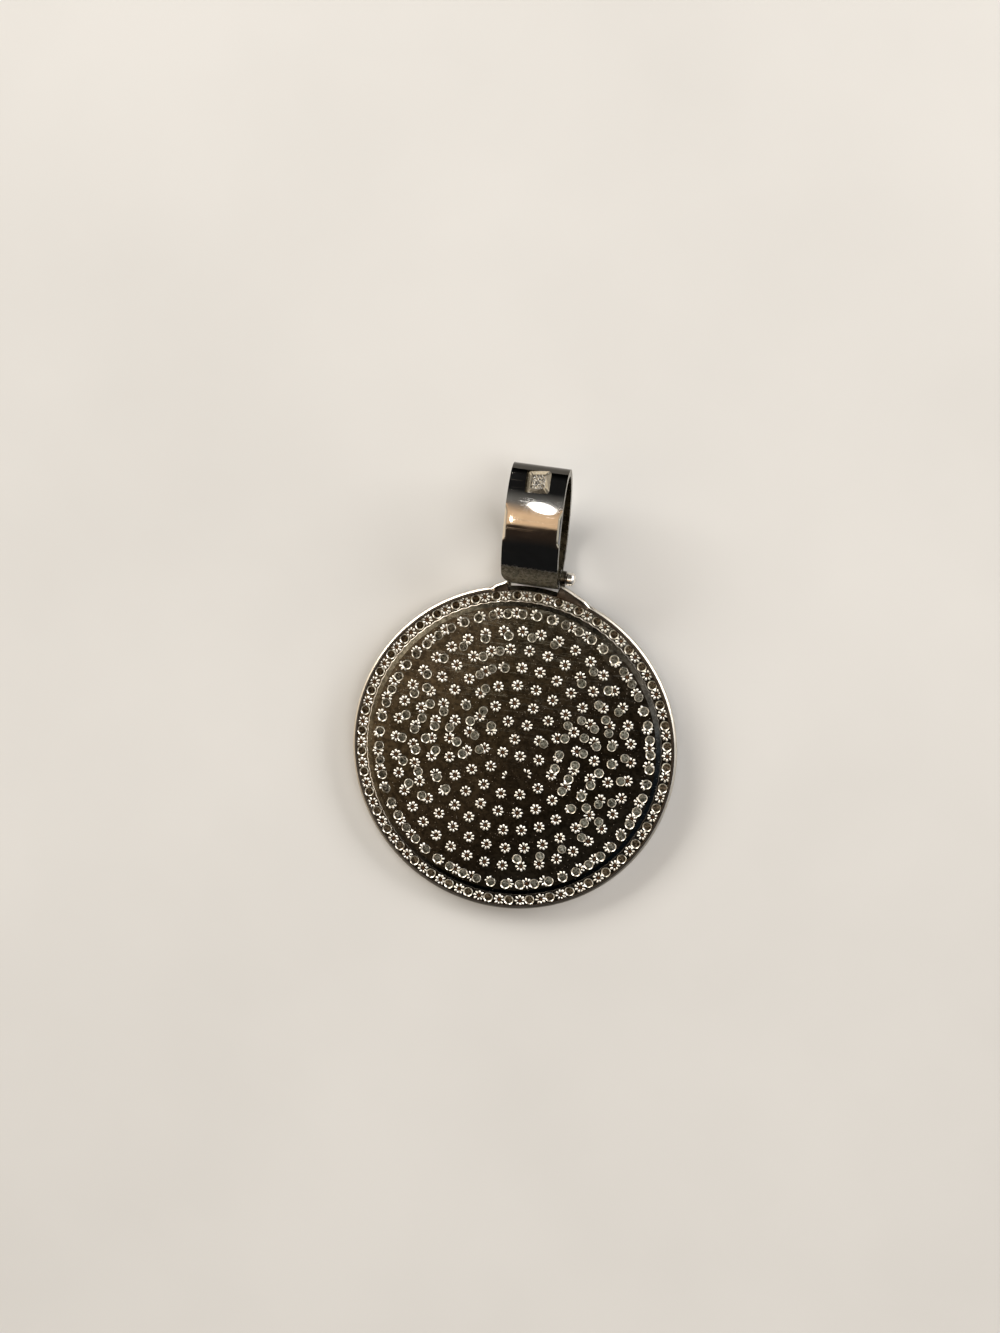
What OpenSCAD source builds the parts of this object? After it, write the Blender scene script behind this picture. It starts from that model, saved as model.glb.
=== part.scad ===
// Coin pendant lying on its stone side: a polished disc whose back carries rings of
// raised rosettes and the open backs of its stone seats, and a wide loop bail on a hinge pin.
// The disc is drawn flat round its own centre, back face up and bail toward +Y. at_rest()
// then tilts the whole pendant until its lower edge and the bail both touch z = 0.

/* [Disc] */
// Diameter of the disc at its widest
disc_d = 38; // [37.5:0.1:40]
// Thickness of the plate from its front face to its back face
disc_t = 1.4; // [1.3:0.1:1.8]
// Radius of the flat field on the back
field_r = 16.7; // [16.7:0.05:16.85]
// Radius at the foot of the slope between field and channel
channel_in_r = 17.3; // [17.1:0.05:17.35]
// Depth of the border channel below the field
channel_drop = 0.28; // [0.15:0.01:0.35]
// Height of the rim's land below the field
rim_drop = 0.04; // [0:0.01:0.1]
// Width of the rim's bright sloping edge
edge_w = 0.45; // [0.3:0.05:0.5]
// Height of the rim's bright sloping edge
edge_h = 0.76; // [0.5:0.02:0.8]
// Chamfer round the front edge
front_chamfer = 0.3; // [0.1:0.05:0.35]

/* [Rosettes] */
// Radius of a rosette over its petals
rosette_r = 0.62; // [0.5:0.02:0.66]
// Share of that radius at the notches between petals
notch_share = 0.66; // [0.5:0.02:0.8]
// Petals in each rosette
petals = 8; // [6:1:10]
// Radius of the pit in the middle
pit_r = 0.19; // [0.1:0.01:0.3]
// Height of the relief
relief_h = 0.07; // [0.04:0.01:0.12]

/* [Stones] */
// Width of a round stone across its girdle
stone_d = 1.24; // [1.1:0.02:1.24]
// Width of its table
table_d = 0.7; // [0.5:0.05:0.9]
// Height of its crown
crown_h = 0.17; // [0.12:0.01:0.2]
// Thickness of its girdle
girdle_h = 0.04; // [0.03:0.01:0.06]
// Depth of its pavilion
pavilion_h = 0.54; // [0.45:0.01:0.58]
// Width of the hole behind each stone
hole_d = 1; // [0.8:0.05:1.05]
// Width of the bright cut round each hole
hole_edge = 0.09; // [0.05:0.01:0.12]
// Gap between a stone and its seat
seat_gap = 0.02; // [0.01:0.01:0.04]

/* [Bail] */
// Length of the loop along the pendant
bail_l = 14.4; // [14:0.2:15.2]
// Depth of the loop from front to back
bail_depth = 7.6; // [7.2:0.1:8]
// Width of the band
bail_w = 6.5; // [6.2:0.1:6.8]
// Thickness of the band
band_t = 0.8; // [0.7:0.05:0.9]
// Shift of the band to the left of the foot's middle
band_shift = 0.5; // [0.3:0.05:0.6]
// Turn of the loop up from the disc's plane as it lies
loop_turn = 15; // [12:1:18]
// Distance from the loop's lower end to the pin
foot_drop = 1.3; // [1.25:0.05:1.35]
// Width of the foot between the lugs
foot_w = 5.5; // [5.3:0.1:5.6]
// Radius of the foot's rounded left corner
foot_corner_r = 2.4; // [2.2:0.1:2.6]

/* [Bail stone] */
// Width of the square stone
square_w = 2.7; // [2.4:0.1:2.8]
// Distance from the pin to the stone along the loop
square_y = 12; // [11.6:0.1:12.1]
// Turn of the stone in its seat
square_turn = 3; // [0:1:8]
// Lean of the stone and its seat to the left
square_lean = 10; // [0:1:12]
// Height of the square stone from table to the pavilion's tip
square_h = 1.5; // [1.2:0.1:1.7]

/* [Hinge] */
// Distance from the disc's edge to the pin's axis
pin_gap = 1.5; // [1.45:0.05:1.7]
// Diameter of the pin's shaft
pin_d = 0.9; // [0.7:0.05:1]
// Radial clearance of the pin in the bail's foot
pin_play = 0.04; // [0.02:0.01:0.06]
// Radius of the lugs and of the foot's barrel
lug_r = 0.85; // [0.75:0.05:0.95]
// Thickness of each lug
lug_t = 0.6; // [0.5:0.05:0.7]
// Gap between the foot and each lug
lug_gap = 0.08; // [0.05:0.01:0.12]
// Shift of the foot, the lugs and the pin to the right of the disc's middle
hinge_shift = 0.15; // [0:0.05:0.3]
// Diameter of the pin's round head
head_d = 1.5; // [1.2:0.1:1.5]
// Length of the pin's round head
head_l = 1; // [0.8:0.05:1.2]

/* [Hidden] */

RADIUS = 0;
COUNT = 1;
FIRST_TURN = 2;
TURN = 0;
DISTANCE = 1;

// Rings of rosettes: radius, count and turn of the first one, clockwise from the bail
rosette_rings = [
    [1.2, 3, 5],
    [3.3, 9, 24],
    [5.4, 15, 355.5],
    [7.5, 21, 357.3],
    [9.6, 28, 359.5],
    [11.7, 33, 2.6],
    [13.8, 40, 357.8],
    [15.9, 46, 354.7],
    [17.96, 46, 358]
];
// Rosettes that came out half formed, by ring and place in the ring
worn_rosettes = [[1, 3], [1, 4]];

// Closed rings of stones: radius, count and turn of the first one
stone_rings = [
    [17.94, 46, 2.3],
    [15.9, 58, 356.5]
];
// Shift of the second ring's centre from the disc's
ring_shift = [0.15, -0.1];
// The inner ring has room for thirty stones and leaves a gap at the bottom
arc_ring = [13.1, 30, 2.7];
arc_left_out = [2, 15, 16, 17, 18, 19];
// Shift of the inner ring's centre from the disc's
arc_shift = [0, 0.15];

// Single stones on the right of the field: turn clockwise from the bail, distance out
right_stones = [
    [38.5, 11.25], [54.5, 11.4], [71.5, 3.7], [88.5, 5.5], [106.5, 5.4], [70, 6.25],
    [58.5, 7.1], [96, 7.5], [110, 7.35], [59, 8.8], [72.5, 8.5], [85, 8.25], [67.5, 9.9],
    [79.5, 9.8], [97, 10.4], [106.5, 9.95], [64, 11.45], [72, 11.4], [80, 11.55],
    [90, 11.6], [122.5, 7.5], [116.5, 9.65], [127.5, 9.7], [120.5, 10.9], [114.5, 11.8],
    [128, 11.9]
];
// Single stones on the left of the field
left_stones = [
    [231, 9.3], [261, 3.9], [281.5, 4.7], [256, 5.95], [295.5, 5.9], [269, 6.6],
    [280.5, 7.75], [241, 9.6], [260.5, 9.1], [278, 9.5], [290.5, 9.15], [268.5, 10.3],
    [234.5, 12.2], [248, 11.55], [261, 11.45], [273, 11.75], [280.5, 11.2],
    [290.5, 10.95], [309.5, 3.65], [315, 5.6], [305.5, 7.35], [328.5, 7.7],
    [329, 9.45], [338.5, 9.65], [347.5, 9.5], [335, 11.3], [345.5, 11.55], [297.5, 12.25]
];

// Edge of the solder beside each lug: turn from the bail, distance out
right_solder = [[8.8, 19.85], [12, 19.6], [15, 19.35], [18.5, 19.15], [22.5, 18.9]];
left_solder = [[-8.8, 19.6], [-11, 19.3], [-13.5, 19.1], [-16, 18.9]];

// Heights of the disc's levels over its middle plane
back_z = disc_t / 2;
front_z = -disc_t / 2;
channel_z = back_z - channel_drop;
rim_z = back_z - rim_drop;
disc_r = disc_d / 2;
// Flat land between the rim's sloping edge and the channel's wall
rim_land = 0.1;
rim_in_r = disc_r - edge_w - rim_land;
// Depth by which the relief starts inside the plate
sink = 0.1;
// Length by which a cutting shape passes the surface that it cuts
reach = 3;
// Height over the plate at which the cut round a hole's mouth ends
overlap = 0.012;

// Levels of a round stone, whose table lies just inside the front face
table_z = front_z + seat_gap;
girdle_z = table_z + crown_h;
culet_z = girdle_z + girdle_h + pavilion_h;

// The loop is an ellipse with its middle beyond the pin
pin_y = disc_r + pin_gap;
loop_a = bail_l / 2;
loop_b = bail_depth / 2;
loop_y = loop_a - foot_drop;
loop_points = 96;
// Left side of the band, from the foot's middle
band_x = -bail_w / 2 - band_shift;
// Length by which the rounded corner passes the loop's lower end
corner_cut = 0.25;
head_r = head_d / 2;
lug_x = foot_w / 2 + lug_gap;
pin_end = lug_x + lug_t;
// Radial play of the pin in the lugs, which hold it fast
lug_play = 0.01;
// Gap between the right lug and the pin's head
head_gap = 0.05;
// Distance of the web that carries each lug from the plate's back face and front face
web_drop = 0.55;
web_rise = 0.25;
// Height of the plate's upper edge over the solder beside the lugs, and the solder's height
solder_drop = 0.4;
solder_h = 0.7;
// Depth by which the solder starts inside the rim
solder_root = 0.6;
// The foot's barrel is thicker than the lugs by this much
barrel_extra = 0.1;
// Gap between the lugs and the band above them
lug_room = 0.2;

// The square stone's table lies level with the band's outer face
square_crown = 0.3;
square_seat_depth = 0.42;
ledge_gap = 0.04;
square_slope = (square_h - square_crown) / (square_w / 2);
// Width of the opening below the ledge, which clears the stone's pavilion
square_hole_w = square_w - 2 * (square_seat_depth - square_crown) / square_slope + 2 * ledge_gap;

// Tilt at which the disc's lower front edge and the loop touch one level:
// a quadratic in the tilt's tangent
contact_y = front_chamfer - disc_r;
contact_z = front_z;
span_y = pin_y + loop_y * cos(loop_turn) - contact_y;
span_z = loop_y * sin(loop_turn) - contact_z;
tilt_a = span_y * span_y - pow(half_extent(loop_turn), 2);
tilt_b = span_y * span_z
    - (loop_a * loop_a - loop_b * loop_b) * sin(loop_turn) * cos(loop_turn);
tilt_c = span_z * span_z - pow(half_extent(90 - loop_turn), 2);
rest_tilt = atan((sqrt(tilt_b * tilt_b - tilt_a * tilt_c) - tilt_b) / tilt_a);
rest_z = -(contact_y * sin(rest_tilt) + contact_z * cos(rest_tilt));
far_y = (pin_y + loop_y * cos(loop_turn)) * cos(rest_tilt)
    - loop_y * sin(loop_turn) * sin(rest_tilt)
    + half_extent(loop_turn + rest_tilt);
near_y = -disc_r * cos(rest_tilt) - (rim_z - edge_h) * sin(rest_tilt);
rest_y = -(far_y + near_y) / 2;

// Reach of the loop's ellipse from its middle, along a line turned from its long axis
function half_extent(turn) = sqrt(pow(loop_a * cos(turn), 2) + pow(loop_b * sin(turn), 2));
// A point on the loop's ellipse, and the slope of the band there
function loop_z(y) = loop_b * sqrt(1 - pow((y - loop_y) / loop_a, 2));
function loop_lean(y) =
    atan((y - loop_y) / (loop_a * loop_a) / (loop_z(y) / (loop_b * loop_b)));
function ellipse(a, b, middle) =
    [for (i = [0:loop_points - 1])
        [middle + a * cos(i * 360 / loop_points), b * sin(i * 360 / loop_points)]];
function ring_turns(ring) =
    [for (i = [0:ring[COUNT] - 1]) ring[FIRST_TURN] + i * 360 / ring[COUNT]];
function is_in(value, list) = len([for (v = list) if (v == value) v]) > 0;

module at_rest() {
    translate([0, rest_y, rest_z]) rotate([rest_tilt, 0, 0]) children();
}

// Clockwise from the bail, as seen on the back
module at_turn(turn, distance) {
    rotate([0, 0, -turn]) translate([0, distance, 0]) children();
}

module at_pin() {
    translate([hinge_shift, pin_y, 0]) children();
}

// The loop's own frame, turned about the pin
module at_loop() {
    at_pin() rotate([loop_turn, 0, 0]) children();
}

// A cylinder along X between two places on that axis
module across(x_from, x_to, r) {
    translate([x_from, 0, 0]) rotate([0, 90, 0]) cylinder(h = x_to - x_from, r = r, $fn = 48);
}

// One child at every stone of the border rings
module each_border_stone() {
    for (turn = ring_turns(stone_rings[0])) at_turn(turn, stone_rings[0][RADIUS]) children();
    translate(ring_shift)
        for (turn = ring_turns(stone_rings[1])) at_turn(turn, stone_rings[1][RADIUS]) children();
}

// One child at every stone of the inner ring and of the two groups
module each_field_stone() {
    arc_turns = ring_turns(arc_ring);
    translate(arc_shift)
        for (i = [0:arc_ring[COUNT] - 1])
            if (!is_in(i, arc_left_out)) at_turn(arc_turns[i], arc_ring[RADIUS]) children();
    for (place = concat(right_stones, left_stones))
        at_turn(place[TURN], place[DISTANCE]) children();
}

module disc_blank() {
    rotate_extrude($fn = 180)
        polygon([
            [0, front_z],
            [disc_r - front_chamfer, front_z],
            [disc_r, front_z + front_chamfer],
            [disc_r, rim_z - edge_h],
            [disc_r - edge_w, rim_z],
            [rim_in_r, rim_z],
            [rim_in_r, channel_z],
            [channel_in_r, channel_z],
            [field_r, back_z],
            [0, back_z]
        ]);
}

// A low boss with a notched outline, one lobe for each petal, round an open pit
module rosette() {
    linear_extrude(sink + relief_h)
        difference() {
            polygon([for (i = [0:2 * petals - 1])
                let (r = i % 2 == 0 ? rosette_r : rosette_r * notch_share)
                [r * sin(i * 180 / petals), r * cos(i * 180 / petals)]]);
            circle(r = pit_r, $fn = 16);
        }
}

// The half of a rosette that lies nearer the disc's middle
module worn_rosette() {
    difference() {
        rosette();
        translate([-rosette_r, -pit_r, -sink]) cube([2 * rosette_r, 2 * rosette_r, reach]);
    }
}

module relief() {
    for (n = [0:len(rosette_rings) - 1]) {
        ring = rosette_rings[n];
        level = n < len(rosette_rings) - 1 ? back_z : channel_z;
        turns = ring_turns(ring);
        for (i = [0:ring[COUNT] - 1])
            translate([0, 0, level - sink])
                at_turn(turns[i], ring[RADIUS])
                    if (is_in([n, i], worn_rosettes)) worn_rosette(); else rosette();
    }
}

// The seat, the hole behind it and the bright cut round the hole's mouth
module stone_hole(level) {
    seat_r = stone_d / 2 + seat_gap;
    hole_r = hole_d / 2;
    step_z = girdle_z + girdle_h;
    slope = pavilion_h / (stone_d / 2);
    mouth_r = hole_r + hole_edge + overlap;
    rotate_extrude($fn = 24)
        polygon([
            [0, front_z - reach],
            [seat_r, front_z - reach],
            [seat_r, step_z],
            [hole_r, step_z + (seat_r - hole_r) * slope],
            [hole_r, level - hole_edge],
            [mouth_r, level + overlap],
            [mouth_r, level + reach],
            [0, level + reach]
        ]);
}

module stone_holes() {
    for (turn = ring_turns(stone_rings[0]))
        at_turn(turn, stone_rings[0][RADIUS]) stone_hole(channel_z);
    translate(ring_shift)
        for (turn = ring_turns(stone_rings[1]))
            at_turn(turn, stone_rings[1][RADIUS]) stone_hole(back_z);
    each_field_stone() stone_hole(back_z);
}

// The ear on either side of the bail's foot, soldered to the disc's edge
module lug(side) {
    x_from = side > 0 ? lug_x : -lug_x - lug_t;
    at_pin() across(x_from, x_from + lug_t, lug_r);
    translate([hinge_shift + x_from, disc_r - edge_w - lug_t, front_z + web_rise])
        cube([lug_t, pin_gap + edge_w + lug_t, disc_t - web_drop - web_rise]);
}

// A ledge of solder that runs from the rim up to a lug
module solder(edge) {
    root_r = disc_r - solder_root;
    last = len(edge) - 1;
    translate([0, 0, back_z - solder_drop - solder_h])
        linear_extrude(solder_h)
            polygon(concat(
                [for (p = edge) [p[DISTANCE] * sin(p[TURN]), p[DISTANCE] * cos(p[TURN])]],
                [for (i = [last:-1:0]) [root_r * sin(edge[i][TURN]), root_r * cos(edge[i][TURN])]]
            ));
}

module disc() color("silver") {
    at_rest()
        difference() {
            union() {
                disc_blank();
                relief();
                lug(-1);
                lug(1);
                solder(right_solder);
                solder(left_solder);
            }
            stone_holes();
            at_pin() across(-pin_end - reach, pin_end + reach, pin_d / 2 + lug_play);
        }
}

// Corners of one level of a cut stone: sides with flats of width across, at height z
function stone_level(sides, across, z) =
    [for (i = [0:sides - 1])
        [across / 2 * sin((i + 0.5) * 360 / sides), across / 2 * cos((i + 0.5) * 360 / sides), z]];

// A brilliant with its table down: table, crown, girdle and pavilion, eight facets round
module round_stone() {
    sides = 8;
    top = 3 * sides;
    points = concat(
        stone_level(sides, table_d, table_z),
        stone_level(sides, stone_d, girdle_z),
        stone_level(sides, stone_d, girdle_z + girdle_h),
        [[0, 0, culet_z]]
    );
    bands = [for (level = [0:1]) for (i = [0:sides - 1])
        let (a = level * sides + i, b = level * sides + (i + 1) % sides)
        [a, a + sides, b + sides, b]];
    pavilion = [for (i = [0:sides - 1]) [2 * sides + i, top, 2 * sides + (i + 1) % sides]];
    table = [[for (i = [0:sides - 1]) i]];
    polyhedron(points, concat(table, bands, pavilion));
}

module border_stones() color("honeydew") {
    at_rest() each_border_stone() round_stone();
}

module field_stones() color("honeydew") {
    at_rest() each_field_stone() round_stone();
}

// Shaft through both lugs and the foot, with its round head outside the right lug
module hinge_pin() color("silver") {
    shaft_r = pin_d / 2;
    head_x = pin_end + head_gap;
    collar = 0.15;
    dome_share = 0.6;
    dome = head_r * dome_share;
    dome_x = head_x + head_l - dome;
    at_rest() at_pin()
        rotate([0, 90, 0])
            rotate_extrude($fn = 48)
                polygon(concat(
                    [
                        [0, -pin_end],
                        [shaft_r, -pin_end],
                        [shaft_r, head_x],
                        [head_r - collar, head_x],
                        [head_r, head_x + collar]
                    ],
                    [for (a = [0:15:75])
                        [head_r - dome + dome * cos(a), dome_x + dome * sin(a)]],
                    [[head_r - dome, dome_x + dome], [0, dome_x + dome]]
                ));
}

// The loop's side view, extruded across the band's width
module loop_ring() {
    rotate([90, 0, 90])
        translate([0, 0, band_x])
            linear_extrude(bail_w)
                difference() {
                    polygon(ellipse(loop_a, loop_b, loop_y));
                    polygon(ellipse(loop_a - band_t, loop_b - band_t, loop_y));
                }
}

// The band's plan: straight sides, with the left one rounded in toward the foot
module band_plan() {
    corner_x = band_x + foot_corner_r;
    corner_y = foot_corner_r - foot_drop - corner_cut;
    end_x = band_x + bail_w;
    translate([0, 0, -loop_b])
        linear_extrude(2 * loop_b) {
            translate([band_x, corner_y]) square([bail_w, loop_y + loop_a - corner_y]);
            translate([corner_x, corner_y]) circle(r = foot_corner_r, $fn = 64);
            translate([corner_x, corner_y - foot_corner_r])
                square([end_x - corner_x, foot_corner_r]);
        }
}

// Room for a lug beside the foot, and nothing of the band below it
module lug_space(side) {
    clear_r = lug_r + lug_room;
    x_from = side > 0 ? foot_w / 2 : -foot_w / 2 - reach;
    across(x_from, x_from + reach, clear_r);
    translate([x_from, -clear_r - reach, -clear_r]) cube([reach, clear_r + reach, 2 * clear_r]);
}

// Places its child on the band's outer face, where the square stone sits
module at_square_stone() {
    translate([-band_shift, square_y, loop_z(square_y)])
        rotate([-loop_lean(square_y), 0, 0])
            rotate([0, -square_lean, square_turn])
                children();
}

module bail() color("silver") {
    at_rest() at_loop()
        difference() {
            union() {
                intersection() {
                    loop_ring();
                    band_plan();
                }
                across(-foot_w / 2, foot_w / 2, lug_r + barrel_extra);
            }
            across(-bail_w, bail_w, pin_d / 2 + pin_play);
            lug_space(-1);
            lug_space(1);
            at_square_stone() square_seat();
        }
}

// A square pocket with a smaller opening through the band below it
module square_seat() {
    seat_w = square_w + 2 * seat_gap;
    translate([-seat_w / 2, -seat_w / 2, -square_seat_depth]) cube([seat_w, seat_w, reach]);
    translate([-square_hole_w / 2, -square_hole_w / 2, -reach])
        cube([square_hole_w, square_hole_w, reach]);
}

// A square brilliant with cut corners, its table outward
module square_stone() {
    sides = 8;
    half = square_w / 2;
    cut = 0.25;
    table_share = 0.62;
    girdle = 0.05;
    outline = [
        [half - cut, half], [half, half - cut], [half, cut - half], [half - cut, -half],
        [cut - half, -half], [-half, cut - half], [-half, half - cut], [cut - half, half]
    ];
    points = concat(
        [for (p = outline) [p[0] * table_share, p[1] * table_share, square_crown]],
        [for (p = outline) [p[0], p[1], girdle]],
        [for (p = outline) [p[0], p[1], 0]],
        [[0, 0, square_crown - square_h]]
    );
    bands = [for (level = [0:1]) for (i = [0:sides - 1])
        let (a = level * sides + i, b = level * sides + (i + 1) % sides)
        [a, b, b + sides, a + sides]];
    pavilion = [for (i = [0:sides - 1]) [2 * sides + i, 2 * sides + (i + 1) % sides, 3 * sides]];
    table = [[for (i = [0:sides - 1]) sides - 1 - i]];
    polyhedron(points, concat(table, bands, pavilion));
}

module bail_stone() color("honeydew") {
    at_rest() at_loop() at_square_stone() translate([0, 0, -square_crown]) square_stone();
}

disc();
border_stones();
field_stones();
hinge_pin();
bail();
bail_stone();
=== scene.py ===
"""Dresses the coin pendant's solid model and sets up the studio that it is seen in.

The solid model gives every shape and place. This script adds what metalwork adds to it:
petals on the rosettes, bright lips round the stone seats, softened edges on the bail,
a worn polish on each metal and cut glass in the seats. Light and shade are also painted
into the colours of several metals and of the stones. Sizes of the dataclasses are in
millimetres in the pendant's flat drawing: origin at the disc's middle, back face up and
bail toward +Y. Everything that the scene holds is in metres, as the pendant lies.
"""

import logging
import math
import random
from dataclasses import dataclass, field
from enum import Enum
from typing import Any, Dict, List, Optional, Sequence, Tuple
import bmesh
import bpy
import numpy as np
from mathutils import Matrix, Quaternion, Vector


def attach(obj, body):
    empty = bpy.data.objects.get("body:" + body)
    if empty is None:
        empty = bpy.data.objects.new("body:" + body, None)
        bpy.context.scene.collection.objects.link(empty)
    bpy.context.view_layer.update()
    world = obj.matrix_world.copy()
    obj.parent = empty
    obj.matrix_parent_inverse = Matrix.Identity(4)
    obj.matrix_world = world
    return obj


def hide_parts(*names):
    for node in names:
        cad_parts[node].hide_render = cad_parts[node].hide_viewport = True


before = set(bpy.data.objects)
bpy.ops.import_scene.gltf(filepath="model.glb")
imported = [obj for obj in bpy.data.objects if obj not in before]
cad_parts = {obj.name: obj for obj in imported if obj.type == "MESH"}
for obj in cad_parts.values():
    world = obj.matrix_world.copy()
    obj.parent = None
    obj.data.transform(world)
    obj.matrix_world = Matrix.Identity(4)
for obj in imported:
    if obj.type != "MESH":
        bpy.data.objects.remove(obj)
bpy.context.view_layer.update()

log = logging.getLogger("coin_pendant")

MM = 0.001
Colour = Tuple[float, float, float]
Direction = Tuple[float, float, float]
Pair = Tuple[float, float]
Stretch = Tuple[float, float, float, float]

# From the upper left of the flat drawing to its lower right; painted reflections and shade change along it
ACROSS: Direction = (0.7, -0.7, 0.0)
# Difference in millimetres below which two levels are the same
HAIR = 0.01
# Corners that are closer than this, in millimetres, are one corner
WELD = 1e-4


class Body(Enum):
    """The two parts of the pendant that move against each other."""

    COIN = "coin"
    LOOP = "loop"


class BandPlace(Enum):
    """Places on the bail's band that are finished in their own way."""

    OUTSIDE = 0
    SIDE = 1
    INSIDE = 2


class Metal(Enum):
    """Places on the disc that are finished in their own way."""

    FIELD = 0
    EDGE = 1
    CUT = 2
    SEAT = 3
    SLOPE = 4
    PIT = 5
    SOLDER = 6
    RIM = 7


@dataclass(frozen=True)
class RestPose:
    """How the flat drawing of the pendant lies on the surface."""

    tilt_deg: float = 2.551869762
    shift_y: float = -7.044039
    shift_z: float = 1.531901

    def to_rest(self, flat: np.ndarray) -> np.ndarray:
        """Lays points of the flat drawing down as the pendant rests.

        Args:
            flat: Points in millimetres in the flat drawing.

        Returns:
            The same points in metres, as the pendant lies.
        """
        cos, sin = self._turn()
        x, y, z = flat.T
        laid = np.stack([x, y * cos - z * sin + self.shift_y, y * sin + z * cos + self.shift_z], 1)
        return laid * MM

    def to_flat(self, laid: np.ndarray) -> np.ndarray:
        """Takes points of the pendant at rest back to the flat drawing.

        Args:
            laid: Points in metres, as the pendant lies.

        Returns:
            The same points in millimetres in the flat drawing.
        """
        cos, sin = self._turn()
        x, y, z = (laid / MM - np.array([0.0, self.shift_y, self.shift_z])).T
        return np.stack([x, y * cos + z * sin, z * cos - y * sin], 1)

    def turned(self, direction: Sequence[float]) -> Vector:
        """Turns a direction of the flat drawing to the pendant at rest.

        Args:
            direction: The direction in the flat drawing.

        Returns:
            The same direction, as the pendant lies.
        """
        cos, sin = self._turn()
        x, y, z = direction
        return Vector((x, y * cos - z * sin, y * sin + z * cos))

    def _turn(self) -> Tuple[float, float]:
        """Cosine and sine of the tilt."""
        tilt = math.radians(self.tilt_deg)
        return math.cos(tilt), math.sin(tilt)


REST = RestPose()


class Sheet:
    """A node tree with short calls for adding and joining its nodes."""

    def __init__(self, tree: bpy.types.NodeTree) -> None:
        """Keeps the tree that the calls work on."""
        self.tree = tree

    def add(self, kind: str, inputs: Optional[Dict[Any, Any]] = None, **settings: Any) -> bpy.types.Node:
        """Adds one node.

        Args:
            kind: The node's type name.
            inputs: Input name or number, with a value or the socket that feeds it.
            settings: The node's own properties.

        Returns:
            The new node.
        """
        node = self.tree.nodes.new(kind)
        for name, value in settings.items():
            setattr(node, name, value)
        for name, value in (inputs or {}).items():
            self.feed(node.inputs[name], value)
        return node

    def feed(self, socket: bpy.types.NodeSocket, value: Any) -> None:
        """Sets an input to a value, or joins the socket that feeds it.

        Args:
            socket: The input.
            value: The value, or the socket that feeds the input.
        """
        if isinstance(value, bpy.types.NodeSocket):
            self.tree.links.new(value, socket)
        else:
            socket.default_value = value

    def math(self, operation: str, first: Any, second: Any = 0.0) -> bpy.types.NodeSocket:
        """Adds a Math node and gives its result."""
        node = self.add("ShaderNodeMath", {0: first, 1: second}, operation=operation)
        return node.outputs[0]

    def spread(
        self, value: Any, low: float, high: float, start: Any = 0.0, end: Any = 1.0
    ) -> bpy.types.NodeSocket:
        """Adds a clamped Map Range node.

        Args:
            value: The value or socket that is spread.
            low: The value that gives start.
            high: The value that gives end.
            start: The result at low.
            end: The result at high.

        Returns:
            The socket of the result.
        """
        inputs = {"Value": value, "From Min": low, "From Max": high, "To Min": start, "To Max": end}
        return self.add("ShaderNodeMapRange", inputs, clamp=True).outputs[0]

    def blend(self, share: Any, first: Any, second: Any, kind: str = "MIX") -> bpy.types.NodeSocket:
        """Adds a colour Mix node and gives its result."""
        inputs = {0: share, 6: first, 7: second}
        return self.add("ShaderNodeMix", inputs, data_type="RGBA", blend_type=kind).outputs[2]

    def tinted(self, tone: Any, tint: Colour) -> bpy.types.NodeSocket:
        """Multiplies a tone by a tint."""
        return self.blend(1.0, tone, rgba(tint), "MULTIPLY")

    def along(self, place: Any, direction: Direction) -> bpy.types.NodeSocket:
        """Measures how far a place lies along a direction."""
        node = self.add("ShaderNodeVectorMath", {0: place, 1: direction}, operation="DOT_PRODUCT")
        return node.outputs["Value"]

    def noise(
        self, place: Any, scale: Any, detail: float, roughness: float = 0.5, distortion: float = 0.0
    ) -> bpy.types.NodeSocket:
        """Adds a Noise Texture node.

        Args:
            place: The place on the surface.
            scale: The noise's features per unit of place, as a value or socket.
            detail: How many finer layers the noise has.
            roughness: How strong the finer layers are.
            distortion: How much the noise is bent.

        Returns:
            The socket of the noise's value.
        """
        inputs = {
            "Vector": place,
            "Scale": scale,
            "Detail": detail,
            "Roughness": roughness,
            "Distortion": distortion,
        }
        return self.add("ShaderNodeTexNoise", inputs).outputs[0]


def rgba(colour: Colour) -> Tuple[float, float, float, float]:
    """Adds the alpha that colour sockets want."""
    return (*colour, 1.0)


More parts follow.
